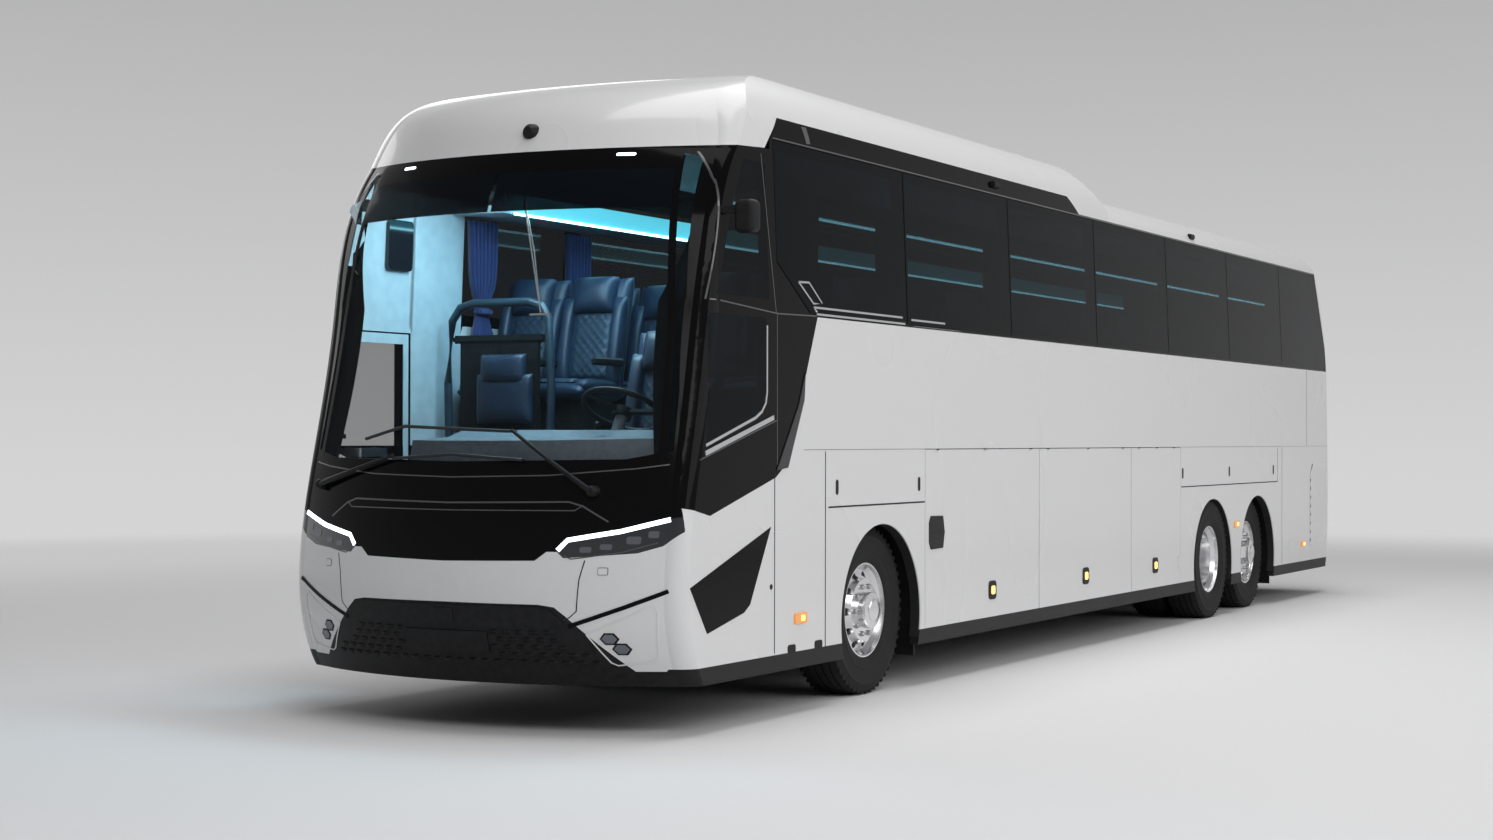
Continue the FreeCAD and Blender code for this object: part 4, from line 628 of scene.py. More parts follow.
def slatsInto(work, sign):
    lay = projector("side", sign, sideNames)
    outline, slope = louvre["outline"], louvre["slope"]
    start = min(z for x, z in outline) - louvre["below"]
    xLow, xHigh = min(x for x, z in outline), max(x for x, z in outline)
    run = (xHigh - xLow) * slope
    while start < max(z for x, z in outline):
        flat = bmesh.new()
        corners = [(xLow, start + run), (xHigh, start), (xHigh, start + louvre["thick"]),
                   (xLow, start + run + louvre["thick"])]
        flat.faces.new([flat.verts.new((a, b, 0)) for a, b in corners])
        for (ax, az), (bx, bz) in zip(outline, outline[1:] + outline[:1]):
            normal = Vector((bz - az, ax - bx, 0))
            if normal.dot(Vector((*louvre["inside"], 0)) - Vector((ax, az, 0))) > 0:
                normal = -normal
            cutFlat(flat, (ax, az, 0), normal, clear_outer=True)
        for face in flat.faces:
            loop = [(v.co.x, v.co.y) for v in face.verts]
            hits = [lay(a, b) for a, b in loop]
            if any(h is None for h in hits) or len(loop) < 3:
                continue
            heights = [b + (a - xHigh) * slope for a, b in loop]
            centre = sum(heights) / len(loop)
            lifts = [louvre["deep"] if height < centre else louvre["shallow"] for height in heights]
            top = [work.verts.new(h + Vector((0, sign * lift, 0))) for h, lift in zip(hits, lifts)]
            under = [work.verts.new(h - Vector((0, sign * louvre["shallow"], 0))) for h in hits]
            work.faces.new(top)
            work.faces.new(under[::-1])
            bridge(work, (top, under))
        flat.free()
        start += louvre["pitch"]


sideTrim("louvre_beds", [louvre["outline"]], "louvreShade", lift=0.001)
for sign, side in sideSigns:
    work = bmesh.new()
    slatsInto(work, sign)
    fromBmesh("louvre_slats_" + side, work, "white", smooth=False)
print("louvres done")

# windscreen: black edge, sun blind, marker lamps, wipers, cameras

screen = {
    "header": [(-1.02, 3.02), (1.02, 3.02), (1.0, 3.135), (-1.0, 3.135)],
    "blinds": [[(-1.03, 2.80), (-0.012, 2.80), (-0.012, 3.03), (-1.02, 3.03)],
               [(0.012, 2.80), (1.03, 2.80), (1.02, 3.03), (0.012, 3.03)]],
    "markerLamps": [roundRect(-0.72, 3.105, 0.10, 0.016, 0.007), roundRect(0.72, 3.105, 0.10, 0.016, 0.007)],
    "edge": [(1.118, 1.46), (1.085, 2.2), (1.035, 2.8), (1.0, 3.1)],
}
frontTrim("screen_header", [screen["header"]], "black", lift=0.0015)
frontTrim("screen_blinds", screen["blinds"], "blind", lift=0.001)
frontTrim("screen_edges", bothWays(ribbon(screen["edge"], 0.035)), "black", lift=0.0012)
frontTrim("header_markers", screen["markerLamps"], "dayLight", lift=0.006, slot="lamp")

wipers = {
    "near": {"pivot": (0.812, 1.288), "elbow": (0.346, 1.607),
             "blade": [(0.36, 1.600), (-0.36, 1.628), (-0.666, 1.559)]},
    "far": {"pivot": (-1.041, 1.305), "elbow": (-0.407, 1.471),
            "blade": [(-0.42, 1.452), (0.0, 1.478), (0.424, 1.449)]},
    "stand": 0.035,
    "armRadii": [0.017, 0.014, 0.011, 0.010, 0.009],
    "knob": [(0, -0.02), (0.03, -0.02), (0.03, 0.035), (0.022, 0.048), (0, 0.052)],
    "steps": 6,
    # stand, radius and sides of the holder and of the rubber
    "bladeParts": ((0.022, 0.009, 8), (0.006, 0.006, 6)),
}


def onFront(a, b, stand):
    return projector("front", names=frontNames)(a, b) + Vector((stand, 0, 0.0))


def makeWiper(name):
    pivot, elbow, blade = [wipers[name][key] for key in ("pivot", "elbow", "blade")]
    work = bmesh.new()
    path = [onFront(pivot[0] + (elbow[0] - pivot[0]) * t, pivot[1] + (elbow[1] - pivot[1]) * t,
                    wipers["stand"])
            for t in (0, 0.25, 0.5, 0.75, 1)]
    tubeInto(work, path, wipers["armRadii"], 10)
    latheInto(work, wipers["knob"], onFront(*pivot, 0.0), 20, axis="x")
    fromBmesh("wiper_arm_" + name, work, "satinBlack")
    work = bmesh.new()
    line = []
    for (a0, b0), (a1, b1) in zip(blade, blade[1:]):
        line += [(a0 + (a1 - a0) * t / wipers["steps"], b0 + (b1 - b0) * t / wipers["steps"])
                 for t in range(wipers["steps"])]
    line.append(blade[-1])
    for stand, radius, sides in wipers["bladeParts"]:
        tubeInto(work, [onFront(a, b, stand) for a, b in line], radius, sides)
    fromBmesh("wiper_blade_" + name, work, "seal")


for name in ("near", "far"):
    makeWiper(name)

watchCameras = [((6.9, 0.12, 3.255), "front"), ((2.28, 1.2, 3.31), "side"), ((-2.25, 1.2, 3.31), "side")]
work = bmesh.new()
for spot, where in watchCameras:
    if where == "front":
        seat = hitFrom(("roof",), (12, spot[1], spot[2]), (-1, 0, 0))
        latheInto(work, [(0, -0.03), (0.05, -0.03), (0.046, 0.012), (0.03, 0.035), (0, 0.042)], seat, 24,
                  axis="x")
    else:
        seat = hitFrom(sideNames, (spot[0], 3, spot[2]), (0, -1, 0))
        blockInto(work, seat - Vector((0.06, 0.01, 0.022)), seat + Vector((0.06, 0.028, 0.022)), 0.008)
fromBmesh("watch_cameras", work, "satinBlack")
print("windscreen fittings done")

# saloon seats: crowned cushions, bolsters, quilted backs and headrests over plinths

seatSizes = {
    "rows": [5.24 - 0.86 * k for k in range(13)],
    "noRight": (-1.775, -0.07),
    "across": {1: (0.46, 0.93), -1: (-0.46, -0.93)},
    "deck": 1.45,
    "driver": (6.21, 0.62, 1.05),
    "leaning": (-0.15, 0, 0.70),
    "level": (-1, 0, -0.03),
}
# mesh, middle, run, width, height and depth of each pad, then cells across and up, roundness and waist
seatPads = [
    ("leather", (-0.25, 0, 0.39), "level", 0.44, 0.52, 0.15),
    ("leather", (-0.535, 0, 0.77), "leaning", 0.45, 0.72, 0.12, 10, 14, 4.0),
    ("leather", (-0.53, 0, 1.01), "leaning", 0.30, 0.24, 0.17, 8, 8),
    ("leather", (-0.475, 0.185, 0.72), "leaning", 0.09, 0.58, 0.12, 6, 10),
    ("leather", (-0.25, 0.185, 0.425), "level", 0.08, 0.46, 0.11, 6, 8),
    ("leather", (-0.475, -0.185, 0.72), "leaning", 0.09, 0.58, 0.12, 6, 10),
    ("leather", (-0.25, -0.185, 0.425), "level", 0.08, 0.46, 0.11, 6, 8),
    ("quilt", (-0.478, 0, 0.70), "leaning", 0.27, 0.44, 0.055, 8, 12, 6.0, 0.0),
    ("quilt", (-0.25, 0, 0.452), "level", 0.27, 0.42, 0.05, 8, 8, 6.0, 0.0),
]


def pillowInto(work, centre, across, upward, wide, high, deep, nu=10, nv=12, power=3.0, waist=0.03):
    # a crowned closed pad: full in the middle, thin at its rim, its sides drawn in between the corners
    across, upward = Vector(across).normalized(), Vector(upward).normalized()
    outward = across.cross(upward).normalized()
    if outward.x < -0.2 or (abs(outward.x) < 0.2 and outward.z < 0):
        outward = -outward
    centre = Vector(centre)
    front, back = [], []
    for j in range(nv + 1):
        v = -math.cos(math.pi * j / nv)
        frontRow, backRow = [], []
        for i in range(nu + 1):
            u = -math.cos(math.pi * i / nu)
            full = (1 - abs(u) ** power) ** (1 / power) * (1 - abs(v) ** power) ** (1 / power)
            x = u * wide / 2 * (1 - waist * (1 - v * v))
            y = v * high / 2 * (1 - waist * (1 - u * u))
            edge = i in (0, nu) or j in (0, nv)
            spot = centre + across * x + upward * y
            frontRow.append(work.verts.new(spot + outward * deep / 2 * full))
            backRow.append(frontRow[-1] if edge else work.verts.new(spot - outward * deep / 2 * full * 0.85))
        front.append(frontRow)
        back.append(backRow)
    for grid, flip in ((front, False), (back, True)):
        for j in range(nv):
            for i in range(nu):
                loop = [grid[j][i], grid[j][i + 1], grid[j + 1][i + 1], grid[j + 1][i]]
                work.faces.new(loop[::-1] if flip else loop)


def seatInto(meshes, x0, y0, z0):
    for key, (x, y, z), run, *shape in seatPads:
        pillowInto(meshes[key], (x0 + x, y0 + y, z0 + z), (0, 1, 0), seatSizes[run], *shape)
    blockInto(meshes["frame"], (x0 - 0.42, y0 - 0.19, z0), (x0 - 0.07, y0 + 0.19, z0 + 0.33))
    for way in (1, -1):
        arm = y0 + way * 0.225
        blockInto(meshes["frame"], (x0 - 0.46, arm - 0.02, z0 + 0.56), (x0 - 0.12, arm + 0.02, z0 + 0.61),
                  0.012, 1)


def makeSeats(name, places, replacesSeats=False):
    meshes = {key: bmesh.new() for key in ("leather", "quilt", "frame")}
    for place in places:
        seatInto(meshes, *place)
    body = fromBmesh(name, meshes["leather"], "leather", sharp=70)
    panel = fromBmesh(name + "_quilt", meshes["quilt"], "quilt", sharp=70)
    fromBmesh(name + "_plinths", meshes["frame"], "satinBlack")
    if replacesSeats:
        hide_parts("seats")


def seatPlaces(rows, sign):
    return [(x, y, seatSizes["deck"]) for x in rows for y in seatSizes["across"][sign]]


missing = seatSizes["noRight"]
rightRows = [x for x in seatSizes["rows"] if not missing[0] < x < missing[1]]
makeSeats("seats_left", seatPlaces(seatSizes["rows"], 1), True)
makeSeats("seats_right", seatPlaces(rightRows, -1))
makeSeats("driver_seat", [seatSizes["driver"]])

work = bmesh.new()
pillowInto(work, (5.50, -0.62, 1.80), (0, 1, 0), (0, 0, 1), 0.40, 0.30, 0.11, 10, 10)
pillowInto(work, (5.51, -0.62, 1.98), (0, 1, 0), (0, 0, 1), 0.32, 0.18, 0.12, 10, 8)
guideSeat = fromBmesh("guide_seat", work, "leather", sharp=70)

# partition behind the entry: bent rail with a dark panel in it

partition = {"x": 5.42, "radius": 0.026,
             "rail": [(-1.08, 1.47), (-1.09, 1.9), (-1.06, 2.28), (-1.0, 2.36), (-0.90, 2.385),
                      (-0.50, 2.385), (-0.41, 2.36), (-0.36, 2.28), (-0.34, 1.9), (-0.35, 1.47)],
             "panel": ((5.405, -1.0, 1.47), (5.43, -0.42, 2.18), 0.01),
             "cap": ((5.40, -1.05, 2.14), (5.438, -0.38, 2.19), 0.012)}
work = bmesh.new()
tubeInto(work, [(partition["x"], y, z) for y, z in partition["rail"]], partition["radius"], 12)
fromBmesh("partition_rail", work, "railBlue")
work = bmesh.new()
blockInto(work, *partition["panel"])
blockInto(work, *partition["cap"])
fromBmesh("partition_panel", work, "satinBlack")
print("seats and partition done")

# curtains: pleated cloth, gathered at a tie

curtainSizes = {"places": (4.98, 3.86, 2.10), "wall": 1.165, "top": 2.93, "low": 2.02, "tie": 2.36,
                "gather": 0.13, "wide": 0.30, "lowShare": 0.78, "tied": 0.12, "pleats": 7, "deep": 0.022,
                "flatter": 0.35, "cells": (6, 22), "tieOut": 1.168, "tieDeep": 0.06,
                "tieHalf": (0.62, 0.018)}


def makeCurtain(name, x, sign):
    c = curtainSizes
    nu, nv = c["pleats"] * c["cells"][0], c["cells"][1]
    high = c["top"] - c["low"]
    rows = []
    work = bmesh.new()
    for j in range(nv + 1):
        z = c["low"] + high * j / nv
        pull = math.exp(-((z - c["tie"]) / c["gather"]) ** 2)
        wide = c["wide"] * (c["lowShare"] + (1 - c["lowShare"]) * j / nv) * (1 - pull) + c["tied"] * pull
        deep = c["deep"] * (1 - c["flatter"] * pull)
        row = []
        for i in range(nu + 1):
            s = i / nu
            fold = math.sin(2 * math.pi * c["pleats"] * s + 0.6 * math.sin(3 * z))
            row.append(work.verts.new((x + (s - 0.5) * wide, sign * (c["wall"] - deep * (1 + fold)), z)))
        rows.append(row)
    for one, two in zip(rows, rows[1:]):
        for i in range(nu):
            work.faces.new((one[i], one[i + 1], two[i + 1], two[i]))
    area = sum(face.calc_area() for face in work.faces)
    piece = fromBmesh(name, work, "curtain", sharp=180)
    half, up = c["tied"] * c["tieHalf"][0], c["tieHalf"][1]
    low, far = sorted((sign * c["tieOut"], sign * (c["tieOut"] - c["tieDeep"])))
    work = bmesh.new()
    blockInto(work, (x - half, low, c["tie"] - up), (x + half, far, c["tie"] + up), 0.008)
    fromBmesh(name + "_tie", work, "curtain")


for sign, side in sideSigns:
    for k, x in enumerate(curtainSizes["places"]):
        makeCurtain("curtain_%s_%d" % (side, k + 1), x, sign)

# racks: a lit panel on the aisle side with a bright line under it

rackLights = {"x": (-6.25, 5.2), "parts": [
    ("rack_panels", (0.752, 0.758), (2.955, 3.068), 0.0, "rackGlow"),
    ("rack_lines", (0.74, 0.762), (2.938, 2.952), 0.003, "stripLight")]}
for name, ys, zs, soften, finish in rackLights["parts"]:
    work = bmesh.new()
    for sign in (1, -1):
        low, far = sorted(sign * y for y in ys)
        blockInto(work, (rackLights["x"][0], low, zs[0]), (rackLights["x"][1], far, zs[1]), soften)
    fromBmesh(name, work, finish)

# cab: pale linings on the door side, black screen, mirror rods

# the wall that a lining keeps to where there is no skin, and the x beyond which it has no wall
cabWall = {"castFrom": 0.3, "half": 1.215, "lean": 0.042, "leanFrom": 2.25, "nose": 6.3, "grid": 0.08,
           "sink": 0.002}


def innerPatch(name, outlines, names, finish, sign, body="coach", lift=0.004):
    work = bmesh.new()
    for outline in outlines:
        flat = griddedFlat(outline, cabWall["grid"])
        spots = {}
        for v in flat.verts:
            hit = hitFrom(names, (v.co.x, sign * cabWall["castFrom"], v.co.y), (0, sign, 0))
            wall = cabWall["half"] - cabWall["lean"] * max(0.0, v.co.y - cabWall["leanFrom"])
            if hit is not None:
                spots[v] = min(abs(hit.y), wall)
            elif v.co.x < cabWall["nose"]:
                spots[v] = wall
        bmesh.ops.delete(flat, geom=[v for v in flat.verts if v not in spots], context="VERTS")
        top = {v: work.verts.new((v.co.x, sign * (spots[v] - lift), v.co.y)) for v in flat.verts}
        under = {v: work.verts.new((v.co.x, sign * (spots[v] + cabWall["sink"]), v.co.y)) for v in flat.verts}
        shellInto(work, flat, top, under)
    fromBmesh(name, work, finish, body)


cabLining = [
    [(5.12, 1.52), (5.64, 1.52), (5.64, 3.05), (5.12, 3.05)],
    [(5.64, 2.20), (6.30, 2.20), (6.12, 3.05), (5.64, 3.05)],
    [(6.50, 1.46), (6.62, 1.46), (6.50, 2.1), (6.42, 2.22), (6.36, 2.2)],
    [(6.31, 2.26), (6.44, 2.25), (6.26, 2.9), (6.14, 3.05)],
]
innerPatch("cab_lining", cabLining, ("cab_sides", "front_mask", "lower_panels", "window_glass"), "lining", -1)
innerPatch("cab_lining_left", [[(5.12, 1.52), (5.62, 1.52), (5.62, 3.05), (5.12, 3.05)]],
           ("cab_sides", "lower_panels"), "lining", 1)
doorFrame = [
    [(5.665, 0.70), (5.715, 0.70), (5.715, 2.19), (5.665, 2.19)],
    [(5.715, 2.13), (6.30, 2.13), (6.30, 2.19), (5.715, 2.19)],
    [(5.665, 0.42), (6.47, 0.42), (6.47, 0.70), (5.665, 0.70)],
    [(6.42, 0.70), (6.475, 0.70), (6.475, 1.20), (6.32, 2.19), (6.26, 2.19), (6.42, 1.20)],
]
innerPatch("door_lining", doorFrame, ("front_door_leaf",), "lining", -1, "front_door", 0.005)
innerPatch("entry_screen", [roundRect(5.80, 2.72, 0.24, 0.30, 0.03)], ("cab_sides", "window_glass"),
           "darkLens", -1, lift=0.03)
work = bmesh.new()
for lift in (0.0, 0.035):
    tubeInto(work, [(6.42, 0.10, 3.02), (6.33, 0.12 + lift * 0.5, 2.6), (6.30, 0.16, 2.26)], 0.004, 8)
blockInto(work, (6.29, 0.09, 2.245), (6.31, 0.23, 2.256), 0.003)
fromBmesh("mirror_rods", work, "steel")
print("interior done")

# repeats by geometry nodes: parts set round an axle, or in a row


def ringTree():
    tree = bpy.data.node_groups.new("ringOfParts", "GeometryNodeTree")
    sockets = {}
    for label, kind in (("Part", "Object"), ("Count", "Int"), ("Centre", "Vector"), ("Step", "Vector"),
                        ("Turn", "Float"), ("Finish", "Material")):
        sockets[label] = tree.interface.new_socket(name=label, in_out="INPUT",
                                                   socket_type="NodeSocket" + kind).identifier
    tree.interface.new_socket(name="Geometry", in_out="OUTPUT", socket_type="NodeSocketGeometry")
    make = tree.nodes.new
    given, result = make("NodeGroupInput"), make("NodeGroupOutput")
    line, part = make("GeometryNodeMeshLine"), make("GeometryNodeObjectInfo")
    index, turns, euler = make("GeometryNodeInputIndex"), make("ShaderNodeMath"), make("ShaderNodeCombineXYZ")
    lay, solid = make("GeometryNodeInstanceOnPoints"), make("GeometryNodeRealizeInstances")
    move, dress = make("GeometryNodeTransform"), make("GeometryNodeSetMaterial")
    turns.operation = "MULTIPLY"
    for source, output, target, socket in (
            (given, "Count", line, "Count"), (given, "Step", line, "Offset"), (given, "Part", part, "Object"),
            (index, 0, turns, 0), (given, "Turn", turns, 1), (turns, 0, euler, "Y"),
            (line, "Mesh", lay, "Points"), (part, "Geometry", lay, "Instance"), (euler, 0, lay, "Rotation"),
            (lay, "Instances", solid, "Geometry"), (solid, "Geometry", move, "Geometry"),
            (given, "Centre", move, "Translation"), (move, "Geometry", dress, "Geometry"),
            (given, "Finish", dress, "Material"), (dress, "Geometry", result, 0)):
        tree.links.new(source.outputs[output], target.inputs[socket])
    return tree, sockets


repeatTree, repeatSockets = ringTree()


def repeated(part, count, centre, step, turn, finish):
    # mesh of one part repeated round the y axis or along a step, taken off the modifier
    template = linked("partTemplate", part)
    host = linked("repeatHost", bpy.data.meshes.new("repeatHost"))
    changer = host.modifiers.new("repeat", "NODES")
    changer.node_group = repeatTree
    for label, value in (("Part", template), ("Count", count), ("Centre", centre), ("Step", step),
                         ("Turn", turn), ("Finish", paint[finish])):
        changer[repeatSockets[label]] = value
    shape = bpy.data.meshes.new_from_object(host.evaluated_get(bpy.context.evaluated_depsgraph_get()))
    bpy.data.objects.remove(host)
    bpy.data.objects.remove(template)
    return shape


def ringInto(work, part, count, centre, finish):
    work.from_mesh(repeated(part, count, centre, (0, 0, 0), 2 * math.pi / count, finish))


# tyres: four grooves round the tread, ribbed walls, blocks on the shoulders

wheels = {
    "steer": {"x": coach["frontAxle"], "track": 1.035, "tyres": (1.035,), "nutBase": 0.0955,
              "holeBack": 0.062},
    "drive": {"x": coach["driveAxle"], "track": 0.945, "tyres": (1.11, 0.78), "nutBase": 0.024,
              "holeBack": 0.040},
    "tag": {"x": coach["tagAxle"], "track": 1.035, "tyres": (1.035,), "nutBase": 0.0955, "holeBack": 0.062},
}
corners = [("%s_%s" % (kind, side), sign, wheel)
           for kind, wheel in wheels.items() for sign, side in sideSigns]
tyre = {
    "radius": 0.515, "half": 0.145, "steps": 96,
    "wall": [(0.286, -0.112), (0.290, -0.124), (0.305, -0.132), (0.330, -0.1385), (0.360, -0.1425),
             (0.363, -0.1449), (0.368, -0.1449), (0.371, -0.1432), (0.415, -0.1446), (0.446, -0.1436),
             (0.449, -0.1447), (0.455, -0.1444), (0.458, -0.1420), (0.482, -0.1370), (0.498, -0.1310),
             (0.505, -0.1240), (0.5085, -0.1120)],
    "grooves": (-0.078, -0.026, 0.026, 0.078), "deep": 0.012, "mouth": 0.008, "floor": 0.005,
    "under": 0.0004, "crown": 0.002, "fall": 2.2,
    "blocks": 54, "blockHalf": 0.0125, "blockMiddle": 0.124, "blockReach": 0.011,
    "blockHeights": (0.494, 0.5125),
}


def tyreProfile():
    tread = []
    for spot in tyre["grooves"]:
        top = tyre["radius"] - tyre["under"] - tyre["fall"] * (abs(spot) / tyre["half"]) ** 2 * tyre["crown"]
        low = top - tyre["deep"]
        tread += [(top, spot - tyre["mouth"]), (low, spot - tyre["floor"]), (low, spot + tyre["floor"]),
                  (top, spot + tyre["mouth"])]
    return tyre["wall"] + tread + [(r, -y) for r, y in reversed(tyre["wall"])]


def shoulderBlock(way):
    block = bmesh.new()
    low, high = tyre["blockHeights"]
    middle, reach = way * tyre["blockMiddle"], tyre["blockReach"]
    blockInto(block, (-tyre["blockHalf"], middle - reach, low), (tyre["blockHalf"], middle + reach, high),
              0.002, 1)
    return meshOf("shoulderBlock", block)


for name, sign, wheel in corners:
    work = bmesh.new()
    for y in wheel["tyres"]:
        centre = (wheel["x"], sign * y, coach["axleZ"])
        latheInto(work, tyreProfile(), centre, tyre["steps"])
        for way in (1, -1):
            ringInto(work, shoulderBlock(way), tyre["blocks"], centre, "rubber")
    piece = fromBmesh(name + "_tread", work, "rubber", "wheel_" + name, sharp=30)
    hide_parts(name + ("_tyres" if len(wheel["tyres"]) > 1 else "_tyre"))
print("tyres done")

# wheels: nuts with collars, dark discs set in the hand holes as painted shade, hub caps on the single ones

wheelFace = {
    "count": 10,
    "nutRing": 0.150,
    "nut": [(0.0, -0.002), (0.021, -0.002), (0.021, 0.004), (0.0165, 0.006), (0.0165, 0.036), (0.012, 0.044),
            (0.0, 0.046)],
    # ring and profile of the dark discs that paint the shade inside the hand holes
    "holeRing": 0.215,
    "hole": [(0.0, -0.003), (0.0255, -0.003), (0.0255, 0.0), (0.0, 0.0)],
    "cap": [(0.0, -0.004), (0.070, -0.004), (0.072, 0.0), (0.066, 0.004), (0.050, 0.006), (0.0, 0.008)],
}


def faceRing(label, name, key, base, sign, wheel, finish):
    part = bmesh.new()
    latheInto(part, wheelFace[key], (wheelFace[key + "Ring"], 0, 0), 20, sign=sign)
    work = bmesh.new()
    ringInto(work, meshOf("wheelFacePart", welded(part)), wheelFace["count"],
             (wheel["x"], sign * (wheel["track"] + wheel[base]), coach["axleZ"]), finish)
    fromBmesh(label + name, work, finish, "wheel_" + name, sharp=40)


for name, sign, wheel in corners:
    faceRing("wheel_nuts_", name, "nut", "nutBase", sign, wheel, "steel")
    # dark discs of the rubber seal finish set back in each hand hole, painted shade seen through the holes
    faceRing("hand_holes_", name, "hole", "holeBack", sign, wheel, "seal")
for name, sign, wheel in corners:
    if len(wheel["tyres"]) == 1:
        hub = hitFrom((name + "_rim",), (wheel["x"] + 0.01, sign * 3, coach["axleZ"] + 0.01), (0, -sign, 0))
        work = bmesh.new()
        latheInto(work, wheelFace["cap"], (wheel["x"], hub.y, coach["axleZ"]), 40, sign=sign)
        fromBmesh("hub_cap_" + name, work, "chrome", "wheel_" + name)

# dark liners on the inner edge of each wheel arch

archLiner = {"outer": 1.268, "inner": 1.206, "probe": 1.245, "gap": 0.001, "thick": 0.004,
             "degrees": (-20, 201, 4), "farthest": 0.8, "jump": 0.12}
archNames = ("lower_panels", "side_walls", "cab_sides", "sills")
for kind in ("front", "drive", "tag"):
    for sign, side in sideSigns:
        centre = Vector((coach[kind + "Axle"], sign * archLiner["probe"], coach["axleZ"]))
        rows = []
        work = bmesh.new()
        for degrees in range(*archLiner["degrees"]):
            turn = math.radians(degrees)
            ray = Vector((math.cos(turn), 0, math.sin(turn)))
            hit = hitFrom(archNames, centre, ray)
            if hit is None or (hit - centre).length > archLiner["farthest"]:
                continue
            far = (hit - centre).length + archLiner["gap"]
            near = far - archLiner["thick"]
            rows.append([work.verts.new((centre.x + r * ray.x, sign * archLiner[edge], centre.z + r * ray.z))
                         for r, edge in ((far, "outer"), (near, "outer"), (near, "inner"), (far, "inner"))])
        for pair in zip(rows, rows[1:]):
            if (pair[0][0].co - pair[1][0].co).length <= archLiner["jump"]:
                bridge(work, pair)
        bmesh.ops.holes_fill(work, edges=[edge for edge in work.edges if len(edge.link_faces) == 1], sides=4)
        bmesh.ops.delete(work, geom=[v for v in work.verts if not v.link_faces], context="VERTS")
        fromBmesh("arch_liner_%s_%s" % (kind, side), work, "seal", sharp=40)
print("wheels and arches done")

# tail: lamp clusters, engine grille, plate recess, marker lamps

tailNames = ("rear_wall", "rear_window", "engine_lid", "tail_lamps", "rear_bumper", "roof")


def tailTrim(name, outlines, finish, body="coach", names=tailNames, **more):
    skinPatch(name, outlines, "tail", names, finish, body=body, **more)


def disc(a, b, radius, steps=24):
    return [(a + radius * math.cos(2 * math.pi * k / steps), b + radius * math.sin(2 * math.pi * k / steps))
            for k in range(steps)]


tailLamps = {"y": 1.12, "radius": 0.056, "ring": 0.066,
             "rows": {"red": (1.28, 1.14), "amber": (1.0,), "clear": (0.86,)}}
for key, heights in tailLamps["rows"].items():
    tailTrim("tail_" + key, [disc(s * tailLamps["y"], z, tailLamps["radius"])
                             for s in (1, -1) for z in heights], key + "Lens", lift=0.014, slot="red_lamp")
tailTrim("tail_rings", [disc(s * tailLamps["y"], z, tailLamps["ring"]) for s in (1, -1)
                        for heights in tailLamps["rows"].values() for z in heights], "edgeGrey", lift=0.010)
tailTrim("plate_recess", [roundRect(0, 0.455, 0.56, 0.15, 0.01)], "satinBlack", names=("rear_bumper",),
         lift=0.006)
tailTrim("rear_reflectors", [roundRect(s * 0.86, 0.42, 0.16, 0.05, 0.008) for s in (1, -1)], "redLens",
         names=("rear_bumper",), lift=0.005, slot="red_lamp")
tailTrim("high_lamp", [roundRect(0, 3.16, 0.42, 0.03, 0.01)], "redLens", lift=0.006, slot="red_lamp")
tailTrim("rear_markers", [roundRect(s * 0.86, 3.14, 0.10, 0.03, 0.01) for s in (1, -1)], "redLens",
         lift=0.006, slot="red_lamp")
tailTrim("tail_seams", [ribbon([(s * 1.0, 0.58), (s * 1.0, 2.1)], 0.005) for s in (1, -1)] +
         [ribbon([(-0.98, 2.1), (0, 2.1), (0.98, 2.1)], 0.005)], "shadowGap", names=("rear_wall",),
         lift=0.001)
tailTrim("lid_handle", [roundRect(0, 0.70, 0.22, 0.05, 0.02)], "satinBlack", "engine_lid", ("engine_lid",),
         lift=0.012)
tailTrim("lid_grille_beds", [roundRect(s * 0.40, 1.06, 0.56, 0.44, 0.03) for s in (1, -1)], "louvreShade",
         "engine_lid", ("engine_lid",), lift=0.001)
lidGrille = {"slats": 13, "pitch": 0.033, "low": 0.862, "across": (0.40, -0.40), "long": 0.53}
slat = bmesh.new()
blockInto(slat, (-0.012, -lidGrille["long"] / 2, -0.009), (0.004, lidGrille["long"] / 2, 0.009), 0.003, 1)
for v in slat.verts:
    v.co.x -= 0.25 * v.co.z
slatShape = meshOf("lidSlat", slat)
work = bmesh.new()
for across in lidGrille["across"]:
    foot = hitFrom(("engine_lid",), (-12, across, 1.06), (1, 0, 0))
    work.from_mesh(repeated(slatShape, lidGrille["slats"], (foot.x - 0.002, across, lidGrille["low"]),
                            (0, 0, lidGrille["pitch"]), 0.0, "white"))
fromBmesh("lid_grille_slats", work, "white", "engine_lid", sharp=30)
print("tail done")

# fairing that closes the slope behind the raised roof

fairing = {"high": 0.405, "low": 0.0, "rise": 0.567, "foot": 3.3765, "top": 3.603, "thick": 0.02,
           "half": 1.05, "widen": 0.38, "rows": 10, "columns": 24}
work = bmesh.new()
rows = []
for k in range(fairing["rows"] + 1):
    x = fairing["low"] + (fairing["high"] - fairing["low"]) * k / fairing["rows"]
    z = min(fairing["foot"] + fairing["rise"] * x, fairing["top"])
    reach = fairing["half"] + (fairing["high"] - x) * fairing["widen"]
    ring = [(x, reach * (2 * c / fairing["columns"] - 1), z) for c in range(fairing["columns"] + 1)]
    ring += [(px, py, z - fairing["thick"]) for px, py, _ in reversed(ring)]
    rows.append([work.verts.new(p) for p in ring])
bridge(work, rows)
for ring in (rows[0], rows[-1]):
    back = ring[::-1]
    for c in range(fairing["columns"]):
        work.faces.new((ring[c], ring[c + 1], back[c + 1], back[c]))
fromBmesh("roof_step_fairing", work, "white", sharp=30)
